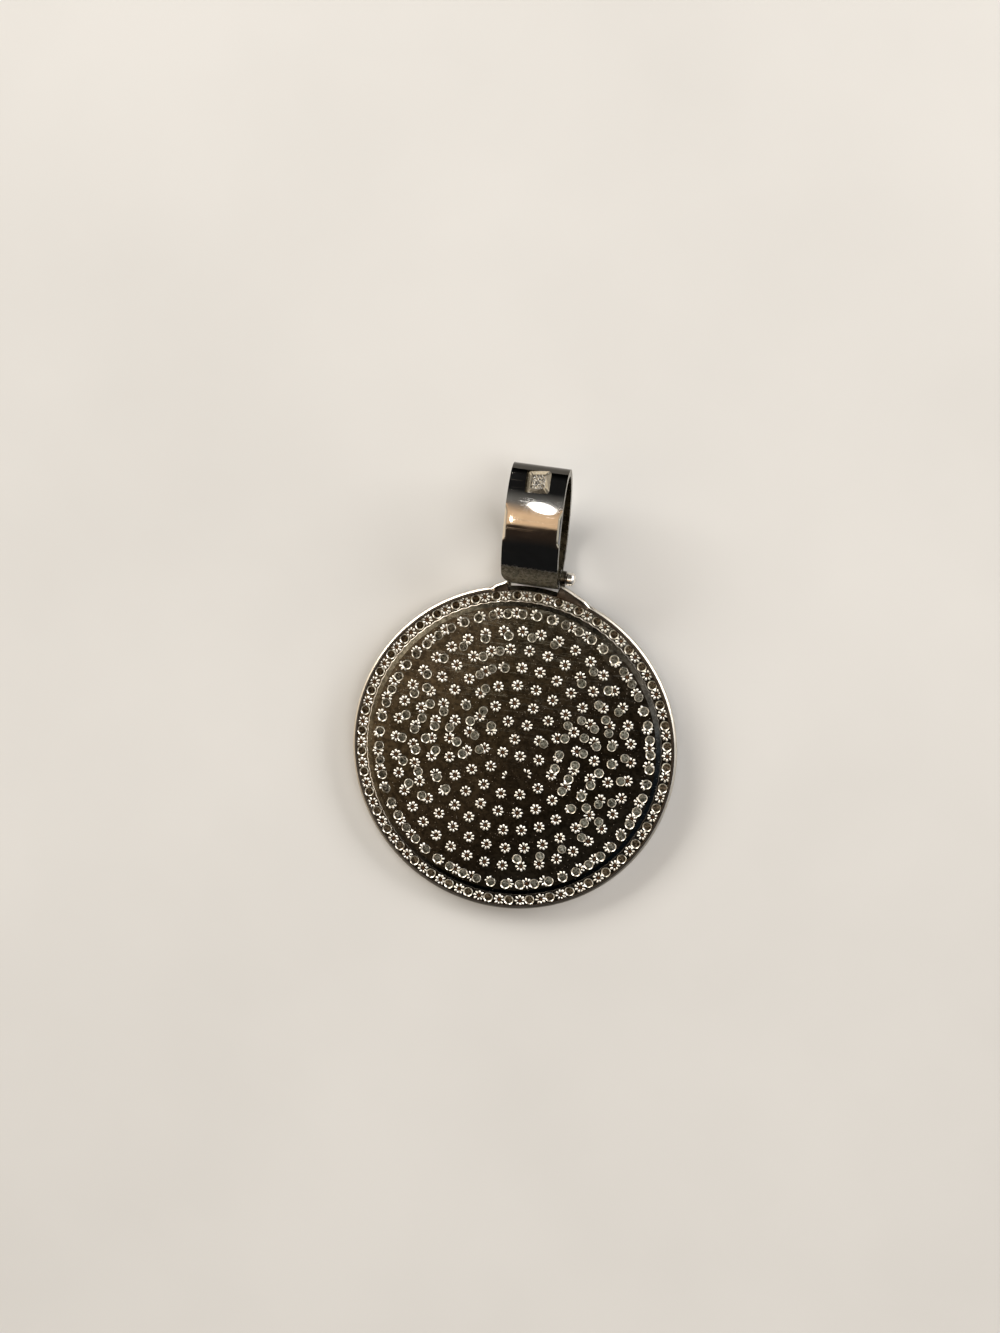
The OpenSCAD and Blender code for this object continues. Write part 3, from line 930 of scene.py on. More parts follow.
def welded(node: bpy.types.Object) -> Tuple[np.ndarray, np.ndarray]:
    """Joins the corners that a node's faces share.

    Args:
        node: A node of the solid model.

    Returns:
        The corners in metres, and the triangles as rows of corner numbers.
    """
    mesh = node.data
    mesh.calc_loop_triangles()
    corners = np.empty(len(mesh.vertices) * 3, np.float64)
    mesh.vertices.foreach_get("co", corners)
    rows = np.empty(len(mesh.loop_triangles) * 3, np.int64)
    mesh.loop_triangles.foreach_get("vertices", rows)
    corners, rows = corners.reshape(-1, 3), rows.reshape(-1, 3)
    keys = np.round(corners / (MM * WELD)).astype(np.int64)
    _, first, to_new = np.unique(keys, axis=0, return_index=True, return_inverse=True)
    rows = to_new.reshape(-1)[rows]
    whole = (rows[:, 0] != rows[:, 1]) & (rows[:, 1] != rows[:, 2]) & (rows[:, 2] != rows[:, 0])
    return corners[first], rows[whole]


def piece_from(
    name: str, corners: np.ndarray, faces: Sequence[Sequence[int]], smooth_deg: float
) -> bpy.types.Object:
    """Makes an object whose faces shade smoothly up to an angle.

    Args:
        name: The object's name.
        corners: The corners in metres.
        faces: Rows of corner numbers.
        smooth_deg: The largest angle between two faces that shade as one.

    Returns:
        The new object, in the scene.
    """
    mesh = bpy.data.meshes.new(name)
    mesh.from_pydata([tuple(p) for p in corners], [], [tuple(int(i) for i in row) for row in faces])
    mesh.shade_smooth()
    mesh.set_sharp_from_angle(angle=math.radians(smooth_deg))
    piece = bpy.data.objects.new(name, mesh)
    bpy.context.scene.collection.objects.link(piece)
    return piece


@dataclass(frozen=True)
class RosetteRing:
    """One ring of rosettes: distance from the disc's middle, count and turn of the first."""

    distance: float
    count: int
    first_turn: float
    level: float = 0.7


@dataclass
class Rosettes:
    """The petals that stand on the disc's low bosses."""

    rings: Tuple[RosetteRing, ...] = (
        RosetteRing(1.2, 3, 5.0),
        RosetteRing(3.3, 9, 24.0),
        RosetteRing(5.4, 15, 355.5),
        RosetteRing(7.5, 21, 357.3),
        RosetteRing(9.6, 28, 359.5),
        RosetteRing(11.7, 33, 2.6),
        RosetteRing(13.8, 40, 357.8),
        RosetteRing(15.9, 46, 354.7),
        RosetteRing(17.96, 46, 358.0, 0.42),
    )
    worn: Tuple[Tuple[int, int, Tuple[float, ...]], ...] = (
        (1, 3, (336.0, 24.0, 70.0, 119.0)),
        (1, 4, (334.0, 297.0, 251.0)),
    )
    petals: int = 8
    petal_at: float = 0.45
    half_length: float = 0.21
    half_width: float = 0.13
    base: float = 0.03
    height: float = 0.13
    kept_from_stone: float = 0.5
    pressed_to: float = 0.54
    around: int = 12
    steps: int = 3
    outer_swell: float = 0.22
    top_at: float = 0.1
    smooth_deg: float = 70.0
    turn_play: Pair = (-4.0, 4.0)
    reach_play: Pair = (0.95, 1.05)
    width_play: Pair = (0.85, 1.15)
    length_play: Pair = (0.88, 1.1)
    height_play: Pair = (0.85, 1.1)
    tone_play: Pair = (0.45, 1.0)
    seed: int = 7

    def centres(self) -> List[Tuple[float, float, float, List[float]]]:
        """Lists the rosettes.

        Returns:
            For each rosette its x, y and level, and the turns of its petals in degrees.
        """
        rows = []
        partly = {(number, i): list(turns) for number, i, turns in self.worn}
        for number, ring in enumerate(self.rings):
            for i in range(ring.count):
                turn = ring.first_turn + i * 360.0 / ring.count
                a = math.radians(turn)
                whole = [turn + k * 360.0 / self.petals for k in range(self.petals)]
                turns = partly.get((number, i), whole)
                rows.append((ring.distance * math.sin(a), ring.distance * math.cos(a), ring.level, turns))
        return rows

    def dome(self) -> Tuple[np.ndarray, List[Tuple[int, ...]]]:
        """Shapes one petal, long along its own Y, wider at the outer end.

        Returns:
            The petal's corners with heights from 0 to 1, and its faces.
        """
        corners, faces = [], []
        for step in range(self.steps):
            level = math.sin(math.radians(90.0 * step / self.steps))
            share = math.cos(math.radians(90.0 * step / self.steps))
            for i in range(self.around):
                a = 2 * math.pi * i / self.around
                along = math.cos(a) * share
                across = math.sin(a) * share * (1.0 + self.outer_swell * along)
                corners.append((across * self.half_width, along * self.half_length, level))
        for step in range(self.steps - 1):
            for i in range(self.around):
                j = (i + 1) % self.around
                low, high = step * self.around, (step + 1) * self.around
                faces.append((low + i, low + j, high + j, high + i))
        corners.append((0.0, self.top_at * self.half_length, 1.0))
        top, last = len(corners) - 1, (self.steps - 1) * self.around
        faces += [(last + i, last + (i + 1) % self.around, top) for i in range(self.around)]
        return np.array(corners), faces

    def build(self, stones: np.ndarray, finish: PetalMetal) -> bpy.types.Object:
        """Sets the petals on the plate, and leaves out those that a stone's hole takes away.

        Args:
            stones: The x and y of every stone's middle, in the flat drawing.
            finish: The petals' finish.

        Returns:
            All petals as one piece.
        """
        chance = random.Random(self.seed)
        dome, dome_faces = self.dome()
        corners, faces, tones = [], [], []
        for x, y, level, turns in self.centres():
            for turn in turns:
                a = math.radians(turn + chance.uniform(*self.turn_play))
                reach = self.petal_at * chance.uniform(*self.reach_play)
                middle = np.array([x + reach * math.sin(a), y + reach * math.cos(a)])
                gaps = np.linalg.norm(stones - middle, axis=1)
                if gaps.min() < self.kept_from_stone:
                    continue
                grown = dome * [chance.uniform(*self.width_play), chance.uniform(*self.length_play), 1.0]
                cos, sin = math.cos(a), math.sin(a)
                px = middle[0] + grown[:, 0] * cos + grown[:, 1] * sin
                py = middle[1] - grown[:, 0] * sin + grown[:, 1] * cos
                stone = stones[gaps.argmin()]
                gap = np.hypot(px - stone[0], py - stone[1])
                push = np.where(gap < self.pressed_to, self.pressed_to / np.maximum(gap, 1e-6), 1.0)
                px, py = stone[0] + (px - stone[0]) * push, stone[1] + (py - stone[1]) * push
                pz = level + self.base + grown[:, 2] * self.height * chance.uniform(*self.height_play)
                start = len(corners) * len(dome)
                corners.append(np.stack([px, py, pz], 1))
                faces += [tuple(start + i for i in row) for row in dome_faces]
                tones += [chance.uniform(*self.tone_play)] * len(dome)
        points = REST.to_rest(np.concatenate(corners))
        piece = piece_from("rosette_petals", points, faces, self.smooth_deg)
        layer = piece.data.attributes.new(finish.tone_layer, "FLOAT", "POINT")
        layer.data.foreach_set("value", tones)
        piece.data.materials.append(finish.build())
        log.info("rosette_petals: %d petals, %d faces", len(corners), len(faces))
        return piece


@dataclass
class SeatLips:
    """The bright rounded lip round each stone's hole, and the dark land that it stands on."""

    profile: Tuple[Pair, ...] = (
        (0.42, -0.12), (0.43, -0.05), (0.468, -0.003), (0.486, 0.02),
        (0.502, 0.014), (0.514, 0.004), (0.6, 0.003),
    )
    fixed: int = 2
    ring_growth: float = 0.05
    ring_from: float = 16.0
    field_growth: Pair = (-0.015, 0.05)
    around: int = 28
    level: float = 0.7
    channel_level: float = 0.42
    channel_from: float = 17.3
    wobble: float = 0.012
    phase_play: Pair = (0.0, 6.28)
    smooth_deg: float = 60.0
    seed: int = 5

    def build(self, stones: np.ndarray, finish: BrightMetal, land: bpy.types.Material) -> bpy.types.Object:
        """Turns one lip round every hole.

        Args:
            stones: The x and y of every stone's middle, in the flat drawing.
            finish: The lips' finish.
            land: The material of the flat ring outside each lip.

        Returns:
            All lips as one piece.
        """
        chance = random.Random(self.seed)
        corners, faces, kinds = [], [], []
        for x, y in stones:
            level = self.channel_level if math.hypot(x, y) > self.channel_from else self.level
            start = len(corners)
            phase = chance.uniform(*self.phase_play)
            in_ring = math.hypot(x, y) > self.ring_from
            growth = self.ring_growth if in_ring else chance.uniform(*self.field_growth)
            for i in range(self.around):
                a = 2 * math.pi * i / self.around
                swell = 1.0 + self.wobble * math.sin(2 * a + phase)
                for k, (r, z) in enumerate(self.profile):
                    r = (r + (growth if k >= self.fixed else 0.0)) * swell
                    corners.append((x + r * math.cos(a), y + r * math.sin(a), level + z))
            n = len(self.profile)
            for i in range(self.around):
                one, two = start + i * n, start + (i + 1) % self.around * n
                faces += [(one + k, one + k + 1, two + k + 1, two + k) for k in range(n - 1)]
                kinds += [int(k == n - 2) for k in range(n - 1)]
        piece = piece_from("seat_lips", REST.to_rest(np.array(corners)), faces, self.smooth_deg)
        piece.data.materials.append(finish.build())
        piece.data.materials.append(land)
        piece.data.polygons.foreach_set("material_index", kinds)
        log.info("seat_lips: %d lips, %d faces", len(stones), len(faces))
        return piece


@dataclass
class ChannelLine:
    """The scalloped bright line where the sloping band drops into the border channel."""

    middle_r: float = 17.3
    dip: float = 0.09
    scallops: int = 92
    first_turn: float = 358.0
    half_width: float = 0.085
    crest: float = 0.05
    shoulder: float = 0.8
    inner_foot: float = -0.02
    outer_foot: float = -0.05
    level: float = 0.43
    around: int = 1104
    smooth_deg: float = 60.0

    def build(self, finish: BrightMetal) -> bpy.types.Object:
        """Runs the line round the channel, dipping in at each seat and rosette.

        Args:
            finish: The line's finish.

        Returns:
            The line as one piece.
        """
        section = (
            (-self.half_width, self.inner_foot),
            (-self.half_width / 2, self.crest * self.shoulder),
            (0.0, self.crest),
            (self.half_width / 2, self.crest * self.shoulder),
            (self.half_width, self.outer_foot),
        )
        corners, faces = [], []
        n = len(section)
        for i in range(self.around):
            turn = 360.0 * i / self.around
            a = math.radians(turn)
            wave = abs(math.cos(math.radians((turn - self.first_turn) * self.scallops / 2)))
            r = self.middle_r - self.dip * wave
            for out, rise in section:
                corners.append(((r + out) * math.sin(a), (r + out) * math.cos(a), self.level + rise))
        for i in range(self.around):
            one, two = i * n, (i + 1) % self.around * n
            faces += [(one + k, two + k, two + k + 1, one + k + 1) for k in range(n - 1)]
        piece = piece_from("channel_line", REST.to_rest(np.array(corners)), faces, self.smooth_deg)
        piece.data.materials.append(finish.build())
        log.info("channel_line: %d faces", len(faces))
        return piece


@dataclass
class RimBead:
    """The rim's rounded bright edge, which runs on along the solder up to the lugs."""

    inner_r: float = 18.76
    outer_r: float = 19.0
    top_z: float = 0.36
    foot_z: float = -0.1
    crown: float = 0.1
    shoulder: Tuple[Pair, ...] = ((18.43, 0.2), (18.43, 0.645), (18.48, 0.665), (18.76, 0.35))
    gap_deg: float = 8.75
    steps: int = 9
    around: int = 720
    bright_steps: int = 6
    over_ledge: float = 0.14
    above_ledge: float = 0.12
    solder: Tuple[Pair, ...] = (
        (-16.4, 19.0), (-16.0, 18.9), (-13.5, 19.1), (-11.0, 19.3), (-8.8, 19.6), (-8.7, 19.0),
        (8.7, 19.0), (8.8, 19.85), (12.0, 19.6), (15.0, 19.35), (18.5, 19.15), (22.5, 18.9), (22.9, 18.9),
    )
    smooth_deg: float = 50.0

    def reach(self, turn: float) -> float:
        """Finds how far out the edge runs.

        Args:
            turn: The turn from the bail in degrees, clockwise.

        Returns:
            The distance from the disc's middle.
        """
        turns, reaches = zip(*self.solder)
        return max(self.outer_r, float(np.interp((turn + 180.0) % 360.0 - 180.0, turns, reaches)))

    def profile(self) -> List[Tuple[float, float]]:
        """Shapes the section: a shoulder up from the plate, then the rounded edge.

        Returns:
            Distances and heights for an edge at the disc's own radius.
        """
        span, rise = self.outer_r - self.inner_r, self.top_z - self.foot_z
        chord = math.hypot(span, rise)
        points = list(self.shoulder)
        for i in range(self.steps):
            share = i / (self.steps - 1)
            bulge = self.crown * (1.0 - (2.0 * share - 1.0) ** 2)
            points.append((
                self.inner_r + span * share + bulge * rise / chord,
                self.top_z - rise * share + bulge * span / chord,
            ))
        return points

    def build(self, finish: BrightMetal, shoulder: BrightMetal) -> bpy.types.Object:
        """Runs the section round the disc, from one lug to the other.

        Args:
            finish: The bead's finish.
            shoulder: The finish of the shoulder inside the bead, with painted dark reflection.

        Returns:
            The rim's edge as one piece.
        """
        section, corners, faces, kinds = self.profile(), [], [], []
        n, inside = len(section), len(self.shoulder)
        for i in range(self.around + 1):
            turn = self.gap_deg + (360.0 - 2 * self.gap_deg) * i / self.around
            a, out = math.radians(turn), self.reach(turn) - self.outer_r
            for k, (r, z) in enumerate(section):
                moved = out + min(out, self.over_ledge) if k >= inside - 1 else 0.0
                raised = min(out, self.above_ledge) if k >= inside - 1 else 0.0
                corners.append(((r + moved) * math.sin(a), (r + moved) * math.cos(a), z + raised))
        for i in range(self.around):
            one, two = i * n, (i + 1) * n
            faces += [(one + k, two + k, two + k + 1, one + k + 1) for k in range(n - 1)]
            kinds += [int(not inside - 1 <= k < inside + self.bright_steps) for k in range(n - 1)]
        piece = piece_from("rim_bead", REST.to_rest(np.array(corners)), faces, self.smooth_deg)
        piece.data.materials.append(finish.build())
        piece.data.materials.append(shoulder.build())
        piece.data.polygons.foreach_set("material_index", kinds)
        log.info("rim_bead: %d faces", len(faces))
        return piece


@dataclass
class Disc:
    """The disc: its smoothed metal, the petals, the rim's edge and the lips of its seats."""

    edge_from: float = 18.44
    rim_dark_above: float = 0.0
    ledge_z: float = 0.28
    ledge_height: float = 0.04
    channel_z: float = 0.42
    back_z: float = 0.7
    edge_below: float = 0.2
    seat_r: float = 0.66
    seat_below: float = 0.005
    cut_depth: float = 0.085
    smooth_deg: float = 20.0
    rosettes: Rosettes = field(default_factory=Rosettes)
    lips: SeatLips = field(default_factory=SeatLips)
    bead: RimBead = field(default_factory=RimBead)
    line: ChannelLine = field(default_factory=ChannelLine)
    slope_rise: float = 0.9063
    slope_play: float = 0.03
    slope_outward: float = 0.3
    slope_r: Pair = (16.65, 17.32)
    pit_r: float = 0.205
    pit_below: float = 0.06
    joint_x: float = 3.3
    joint_above: float = -0.2
    far_off: float = 9.0

    def stone_places(self) -> np.ndarray:
        """Finds the stones' middles from the tips of their pavilions.

        Returns:
            The x and y of every stone's middle, in the flat drawing.
        """
        places = []
        for name in ("border_stones", "field_stones"):
            flat = REST.to_flat(welded(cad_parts[name])[0])
            tips = flat[flat[:, 2] > flat[:, 2].max() - HAIR]
            places.append(np.unique(np.round(tips[:, :2], 3), axis=0))
        return np.concatenate(places)

    def metal_of(self, flat: np.ndarray, rows: np.ndarray, stones: np.ndarray) -> np.ndarray:
        """Chooses the finish of each face of the disc.

        Args:
            flat: The disc's corners in the flat drawing.
            rows: Its triangles.
            stones: The stones' middles.

        Returns:
            For each triangle, the value of its Metal.
        """
        middle = flat[rows].mean(1)
        reach = np.hypot(middle[:, 0], middle[:, 1])
        level = np.where(reach > self.lips.channel_from, self.channel_z, self.back_z)
        kinds = np.full(len(rows), Metal.FIELD.value)
        kinds[(reach > self.edge_from) | (middle[:, 2] < self.edge_below)] = Metal.EDGE.value
        kinds[(reach > self.edge_from) & (middle[:, 2] > self.rim_dark_above)] = Metal.RIM.value
        ledge = (flat[rows][:, :, 2] > self.ledge_z).all(1)
        ledge &= middle[:, 2] < self.ledge_z + self.ledge_height
        kinds[ledge & (reach > self.edge_from)] = Metal.FIELD.value
        joint = (np.abs(middle[:, 0]) < self.joint_x) & (middle[:, 1] > self.edge_from)
        kinds[joint & (middle[:, 2] > self.joint_above)] = Metal.SOLDER.value
        near = np.full(len(rows), self.far_off)
        for x, y in stones:
            near = np.minimum(near, np.hypot(middle[:, 0] - x, middle[:, 1] - y))
        seat = (near < self.seat_r) & (middle[:, 2] < level - self.seat_below)
        kinds[seat & (middle[:, 2] > HAIR - self.back_z)] = Metal.SEAT.value
        kinds[seat & (middle[:, 2] > level - self.cut_depth)] = Metal.CUT.value
        one, two, three = flat[rows[:, 0]], flat[rows[:, 1]], flat[rows[:, 2]]
        normal = np.cross(two - one, three - one)
        normal /= np.maximum(np.linalg.norm(normal, axis=1), 1e-12)[:, None]
        outward = (normal[:, :2] * middle[:, :2]).sum(1) / np.maximum(reach, 1e-9)
        sloped = (np.abs(normal[:, 2] - self.slope_rise) < self.slope_play) & (outward > self.slope_outward)
        kinds[sloped & (reach > self.slope_r[0]) & (reach < self.slope_r[1])] = Metal.SLOPE.value
        pit = np.full(len(rows), self.far_off)
        for x, y, _, _ in self.rosettes.centres():
            pit = np.minimum(pit, np.hypot(middle[:, 0] - x, middle[:, 1] - y))
        pit_floor = (pit < self.pit_r) & (middle[:, 2] < level + self.pit_below) & (middle[:, 2] > 0)
        kinds[pit_floor] = Metal.PIT.value
        return kinds

    def build(self) -> List[bpy.types.Object]:
        """Builds and dresses the disc's pieces.

        Returns:
            The pieces that ride on the coin.
        """
        corners, rows = welded(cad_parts["disc"])
        stones = self.stone_places()
        plate = piece_from("disc_plate", corners, rows, self.smooth_deg)
        for place in Metal:
            plate.data.materials.append(DISC_FINISHES[place].build())
        kinds = self.metal_of(REST.to_flat(corners), rows, stones)
        plate.data.polygons.foreach_set("material_index", kinds.astype(np.int32))
        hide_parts("disc")
        log.info("disc_plate: %d faces, %d stones' seats", len(rows), len(stones))
        return [
            plate,
            self.rosettes.build(stones, PetalMetal()),
            self.lips.build(stones, LIP_METAL, plate.data.materials[Metal.FIELD.value]),
            self.bead.build(BEAD_METAL, SHOULDER_METAL),
            self.line.build(LINE_METAL),
        ]


def faceted_piece(
    name: str, facets: Sequence[Tuple[np.ndarray, ...]], finish: CutGlass, node: str, seed: int
) -> bpy.types.Object:
    """Makes stones of separate flat facets, each with its own painted brightness.

    Args:
        name: The object's name.
        facets: Three corners of each facet, in the flat drawing.
        finish: The stones' glass.
        node: The node of the solid model that the piece stands for.
        seed: The seed of the facets' painted brightness.

    Returns:
        The new object.
    """
    points = REST.to_rest(np.concatenate([np.stack(facet) for facet in facets]))
    piece = piece_from(name, points, [(3 * i, 3 * i + 1, 3 * i + 2) for i in range(len(facets))], 1.0)
    piece.data.shade_flat()
    chance = random.Random(seed)
    # Painted light: a random brightness for each facet.
    layer = piece.data.attributes.new(finish.facet_layer, "FLOAT", "FACE")
    layer.data.foreach_set("value", [chance.random() for _ in facets])
    piece.data.materials.append(finish.build())
    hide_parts(node)
    log.info("%s: %d facets", name, len(facets))
    return piece


@dataclass
class CutStones:
    """A group of stones, with the finer facets that the solid model leaves out."""

    node: str
    piece_name: str
    finish: CutGlass
    bulge: float = 0.03
    belt: float = 0.45
    seed: int = 3

    def split(self, tip: np.ndarray, one: np.ndarray, two: np.ndarray) -> List[Tuple[np.ndarray, ...]]:
        """Cuts one facet between the tip and the girdle into four.

        Args:
            tip: The stone's tip, in the flat drawing.
            one: The facet's first corner on the girdle.
            two: The facet's second corner on the girdle.

        Returns:
            The four smaller facets, each as three corners.
        """
        side = (one + two) / 2
        axis = np.array([tip[0], tip[1], side[2]])
        out = (side - axis) / max(float(np.linalg.norm(side - axis)), 1e-9)
        side = side + out * self.bulge
        waist = side * (1 - self.belt) + tip * self.belt + out * self.bulge
        return [(tip, one, waist), (tip, waist, two), (one, side, waist), (side, two, waist)]

    def build(self) -> bpy.types.Object:
        """Cuts the stones and gives each facet its own painted brightness.

        Returns:
            The stones as one piece.
        """
        corners, rows = welded(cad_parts[self.node])
        flat = REST.to_flat(corners)
        is_tip = flat[:, 2] > flat[:, 2].max() - HAIR
        facets: List[Tuple[np.ndarray, ...]] = []
        for row in rows:
            tips = np.flatnonzero(is_tip[row])
            if len(tips):
                tip, one, two = (flat[row[(tips[0] + k) % 3]] for k in range(3))
                facets += self.split(tip, one, two)
            else:
                facets.append(tuple(flat[row]))
        return faceted_piece(self.piece_name, facets, self.finish, self.node, self.seed)


@dataclass
class SquareStone:
    """The square stone in the bail, with the facets that show through its table."""

    finish: CutGlass = SQUARE_GLASS
    rounds: int = 2
    dent: float = 0.02
    same_way: float = 0.9999
    seed: int = 11

    def quartered(self, sides: List[np.ndarray], rounds: int) -> List[np.ndarray]:
        """Cuts triangles into four at the middles of their sides.

        Args:
            sides: The triangles, as rows of corners.
            rounds: How many times each one is cut.

        Returns:
            The smaller triangles.
        """
        for _ in range(rounds):
            smaller = []
            for one, two, three in sides:
                a, b, c = (one + two) / 2, (two + three) / 2, (three + one) / 2
                smaller += [np.array(rows) for rows in ((one, a, c), (a, two, b), (c, b, three), (a, b, c))]
            sides = smaller
        return sides

    def build(self) -> bpy.types.Object:
        """Cuts the table into small facets that lean a little.

        Returns:
            The stone, which rides on the loop.
        """
        corners, rows = welded(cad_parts["bail_stone"])
        flat = REST.to_flat(corners)
        sides = flat[rows]
        normals = np.cross(sides[:, 1] - sides[:, 0], sides[:, 2] - sides[:, 0])
        areas = np.linalg.norm(normals, axis=1)
        normals /= areas[:, None]
        shared = ((normals @ normals.T) > self.same_way) @ areas
        table = normals[shared.argmax()]
        facets: List[Tuple[np.ndarray, ...]] = []
        for side, normal in zip(sides, normals):
            if normal @ table < self.same_way:
                facets.append(tuple(side))
                continue
            for small in self.quartered([side], self.rounds):
                middle = small.mean(0) - table * self.dent
                facets += [(small[k], small[(k + 1) % 3], middle) for k in range(3)]
        return faceted_piece("square_cut", facets, self.finish, "bail_stone", self.seed)


@dataclass
class HingePin:
    """The pin with its round head."""

    smooth_deg: float = 35.0

    def build(self) -> bpy.types.Object:
        """Builds the pin with a smooth head.

        Returns:
            The pin, which rides on the coin.
        """
        corners, rows = welded(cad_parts["hinge_pin"])
        pin = piece_from("pin_polished", corners, rows, self.smooth_deg)
        pin.data.materials.append(PIN_METAL.build())
        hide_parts("hinge_pin")
        log.info("pin_polished: %d faces", len(rows))
        return pin


@dataclass
class Bail:
    """The wide loop with its softened edges, which holds the square stone."""

    soft_edge: float = 0.2
    soft_steps: int = 4
    small_share: float = 0.25
    sharp_deg: float = 28.0
    flat_deg: float = 0.6
    side_x: Pair = (-3.6, 2.9)
    side_from: float = 0.9
    loop_middle: Tuple[float, float, float] = (-0.35, 19.1, 4.2)
    inside_from: float = 0.5

    def weigh_edges(self, work: bmesh.types.BMesh) -> None:
        """Marks how much each sharp edge is softened: fully along the band's sides, less elsewhere.

        Args:
            work: The band's mesh, in metres.
        """
        weight = work.edges.layers.float.new("bevel_weight_edge")
        for edge in work.edges:
            if len(edge.link_faces) == 2 and edge.calc_face_angle(0.0) > math.radians(self.sharp_deg):
                xs = [corner.co.x / MM for corner in edge.verts]
                along = any(max(abs(x - side) for x in xs) < HAIR for side in self.side_x)
                edge[weight] = 1.0 if along else self.small_share

    def place_of(self, face: bmesh.types.BMFace) -> BandPlace:
        """Tells whether a face is on the band's side, inside the loop or outside it.

        Args:
            face: A face of the band's mesh, in metres.

        Returns:
            The place that the face is on.
        """
        if abs(face.normal.x) > self.side_from:
            return BandPlace.SIDE
        inward = (Vector(self.loop_middle) - face.calc_center_median() / MM).dot(face.normal)
        return BandPlace.INSIDE if inward > self.inside_from else BandPlace.OUTSIDE

    def build(self) -> bpy.types.Object:
        """Builds the band from the solid model, its faces whole and its edges soft.

        Returns:
            The band, which rides on the loop.
        """
        corners, rows = welded(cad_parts["bail"])
        band = piece_from("bail_band", corners, rows, self.sharp_deg)
        work = bmesh.new()
        work.from_mesh(band.data)
        bmesh.ops.dissolve_limit(
            work, angle_limit=math.radians(self.flat_deg), verts=work.verts, edges=work.edges,
            use_dissolve_boundaries=False,
        )
        self.weigh_edges(work)
        for face in work.faces:
            face.material_index = self.place_of(face).value
        work.to_mesh(band.data)
        work.free()
        soft = band.modifiers.new("soft_edges", "BEVEL")
        soft.width = self.soft_edge * MM
        soft.segments = self.soft_steps
        soft.limit_method = "WEIGHT"
        soft.harden_normals = True
        # The softened edges take the sides' dark finish, with its painted shade.
        soft.material = BandPlace.SIDE.value
        for place in BandPlace:
            band.data.materials.append(BAND_FINISHES[place].build())
        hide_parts("bail")
        log.info("bail_band: %d faces", len(band.data.polygons))
        return band


@dataclass(frozen=True)
class Lamp:
    """A soft lamp that points at the pendant."""

    name: str
    toward: Direction
    distance: float
    width: float
    height: float
    radiance: float
    colour: Colour = (1.0, 0.97, 0.92)
    shape: str = "RECTANGLE"
    turn_deg: float = 0.0

    def build(self) -> bpy.types.Object:
        """Hangs the lamp.

        Returns:
            The lamp.
        """
        light = bpy.data.lights.new(self.name, "AREA")
        light.shape = self.shape
        light.size, light.size_y = self.width, self.height
        light.energy = self.radiance * math.pi * self.width * self.height
        light.color = self.colour
        lamp = bpy.data.objects.new(self.name, light)
        direction = Vector(self.toward).normalized()
        lamp.location = direction * self.distance
        lamp.rotation_mode = "QUATERNION"
        own_turn = Quaternion((0.0, 0.0, 1.0), math.radians(self.turn_deg))
        lamp.rotation_quaternion = direction.to_track_quat("Z", "Y") @ own_turn
        lamp.visible_camera = False
        bpy.context.scene.collection.objects.link(lamp)
        return lamp


@dataclass(frozen=True)
class PhotoCamera:
    """The camera at the angle of the picture, fitted on the disc's flat drawing."""

    distance: float = 300.0
    lean_x_deg: float = 8.0
    lean_y_deg: float = 9.13
    roll_deg: float = 7.13
    aim: Direction = (-2.76, 9.29, 0.0)
    mm_per_pixel: float = 0.11566
    long_side: int = 1333
    sensor: float = 36.0
    clip: Pair = (0.01, 20.0)

    def build(self) -> bpy.types.Object:
        """Places the camera.

        Returns:
            The camera, which is also set as the scene's own.
        """
        lean_x = math.sin(math.radians(self.lean_x_deg))
        lean_y = math.sin(math.radians(self.lean_y_deg))
        back = Vector((lean_x, lean_y, math.sqrt(1 - lean_x**2 - lean_y**2)))
        level = Vector((0.0, 1.0, 0.0)).cross(back).normalized()
        above = back.cross(level)
        roll = math.radians(self.roll_deg)
        right = level * math.cos(roll) + above * math.sin(roll)
        up = above * math.cos(roll) - level * math.sin(roll)
        stand = np.array([Vector(self.aim) + back * self.distance])
        data = bpy.data.cameras.new("photo_camera")
        data.sensor_width = self.sensor
        data.lens = self.distance / self.mm_per_pixel * self.sensor / self.long_side
        data.clip_start, data.clip_end = self.clip
        camera = bpy.data.objects.new("photo_camera", data)
        axes = Matrix((REST.turned(right), REST.turned(up), REST.turned(back))).transposed()
        camera.matrix_world = Matrix.Translation(Vector(REST.to_rest(stand)[0])) @ axes.to_4x4()
        bpy.context.scene.collection.objects.link(camera)
        bpy.context.scene.camera = camera
        return camera


@dataclass(frozen=True)
class Glow:
    """A soft patch of the surroundings, by the direction's three components.

    Each component has the start and end of its window, and the softness of each of the two.
    """

    x: Stretch
    y: Stretch
    z: Stretch
    colour: Colour


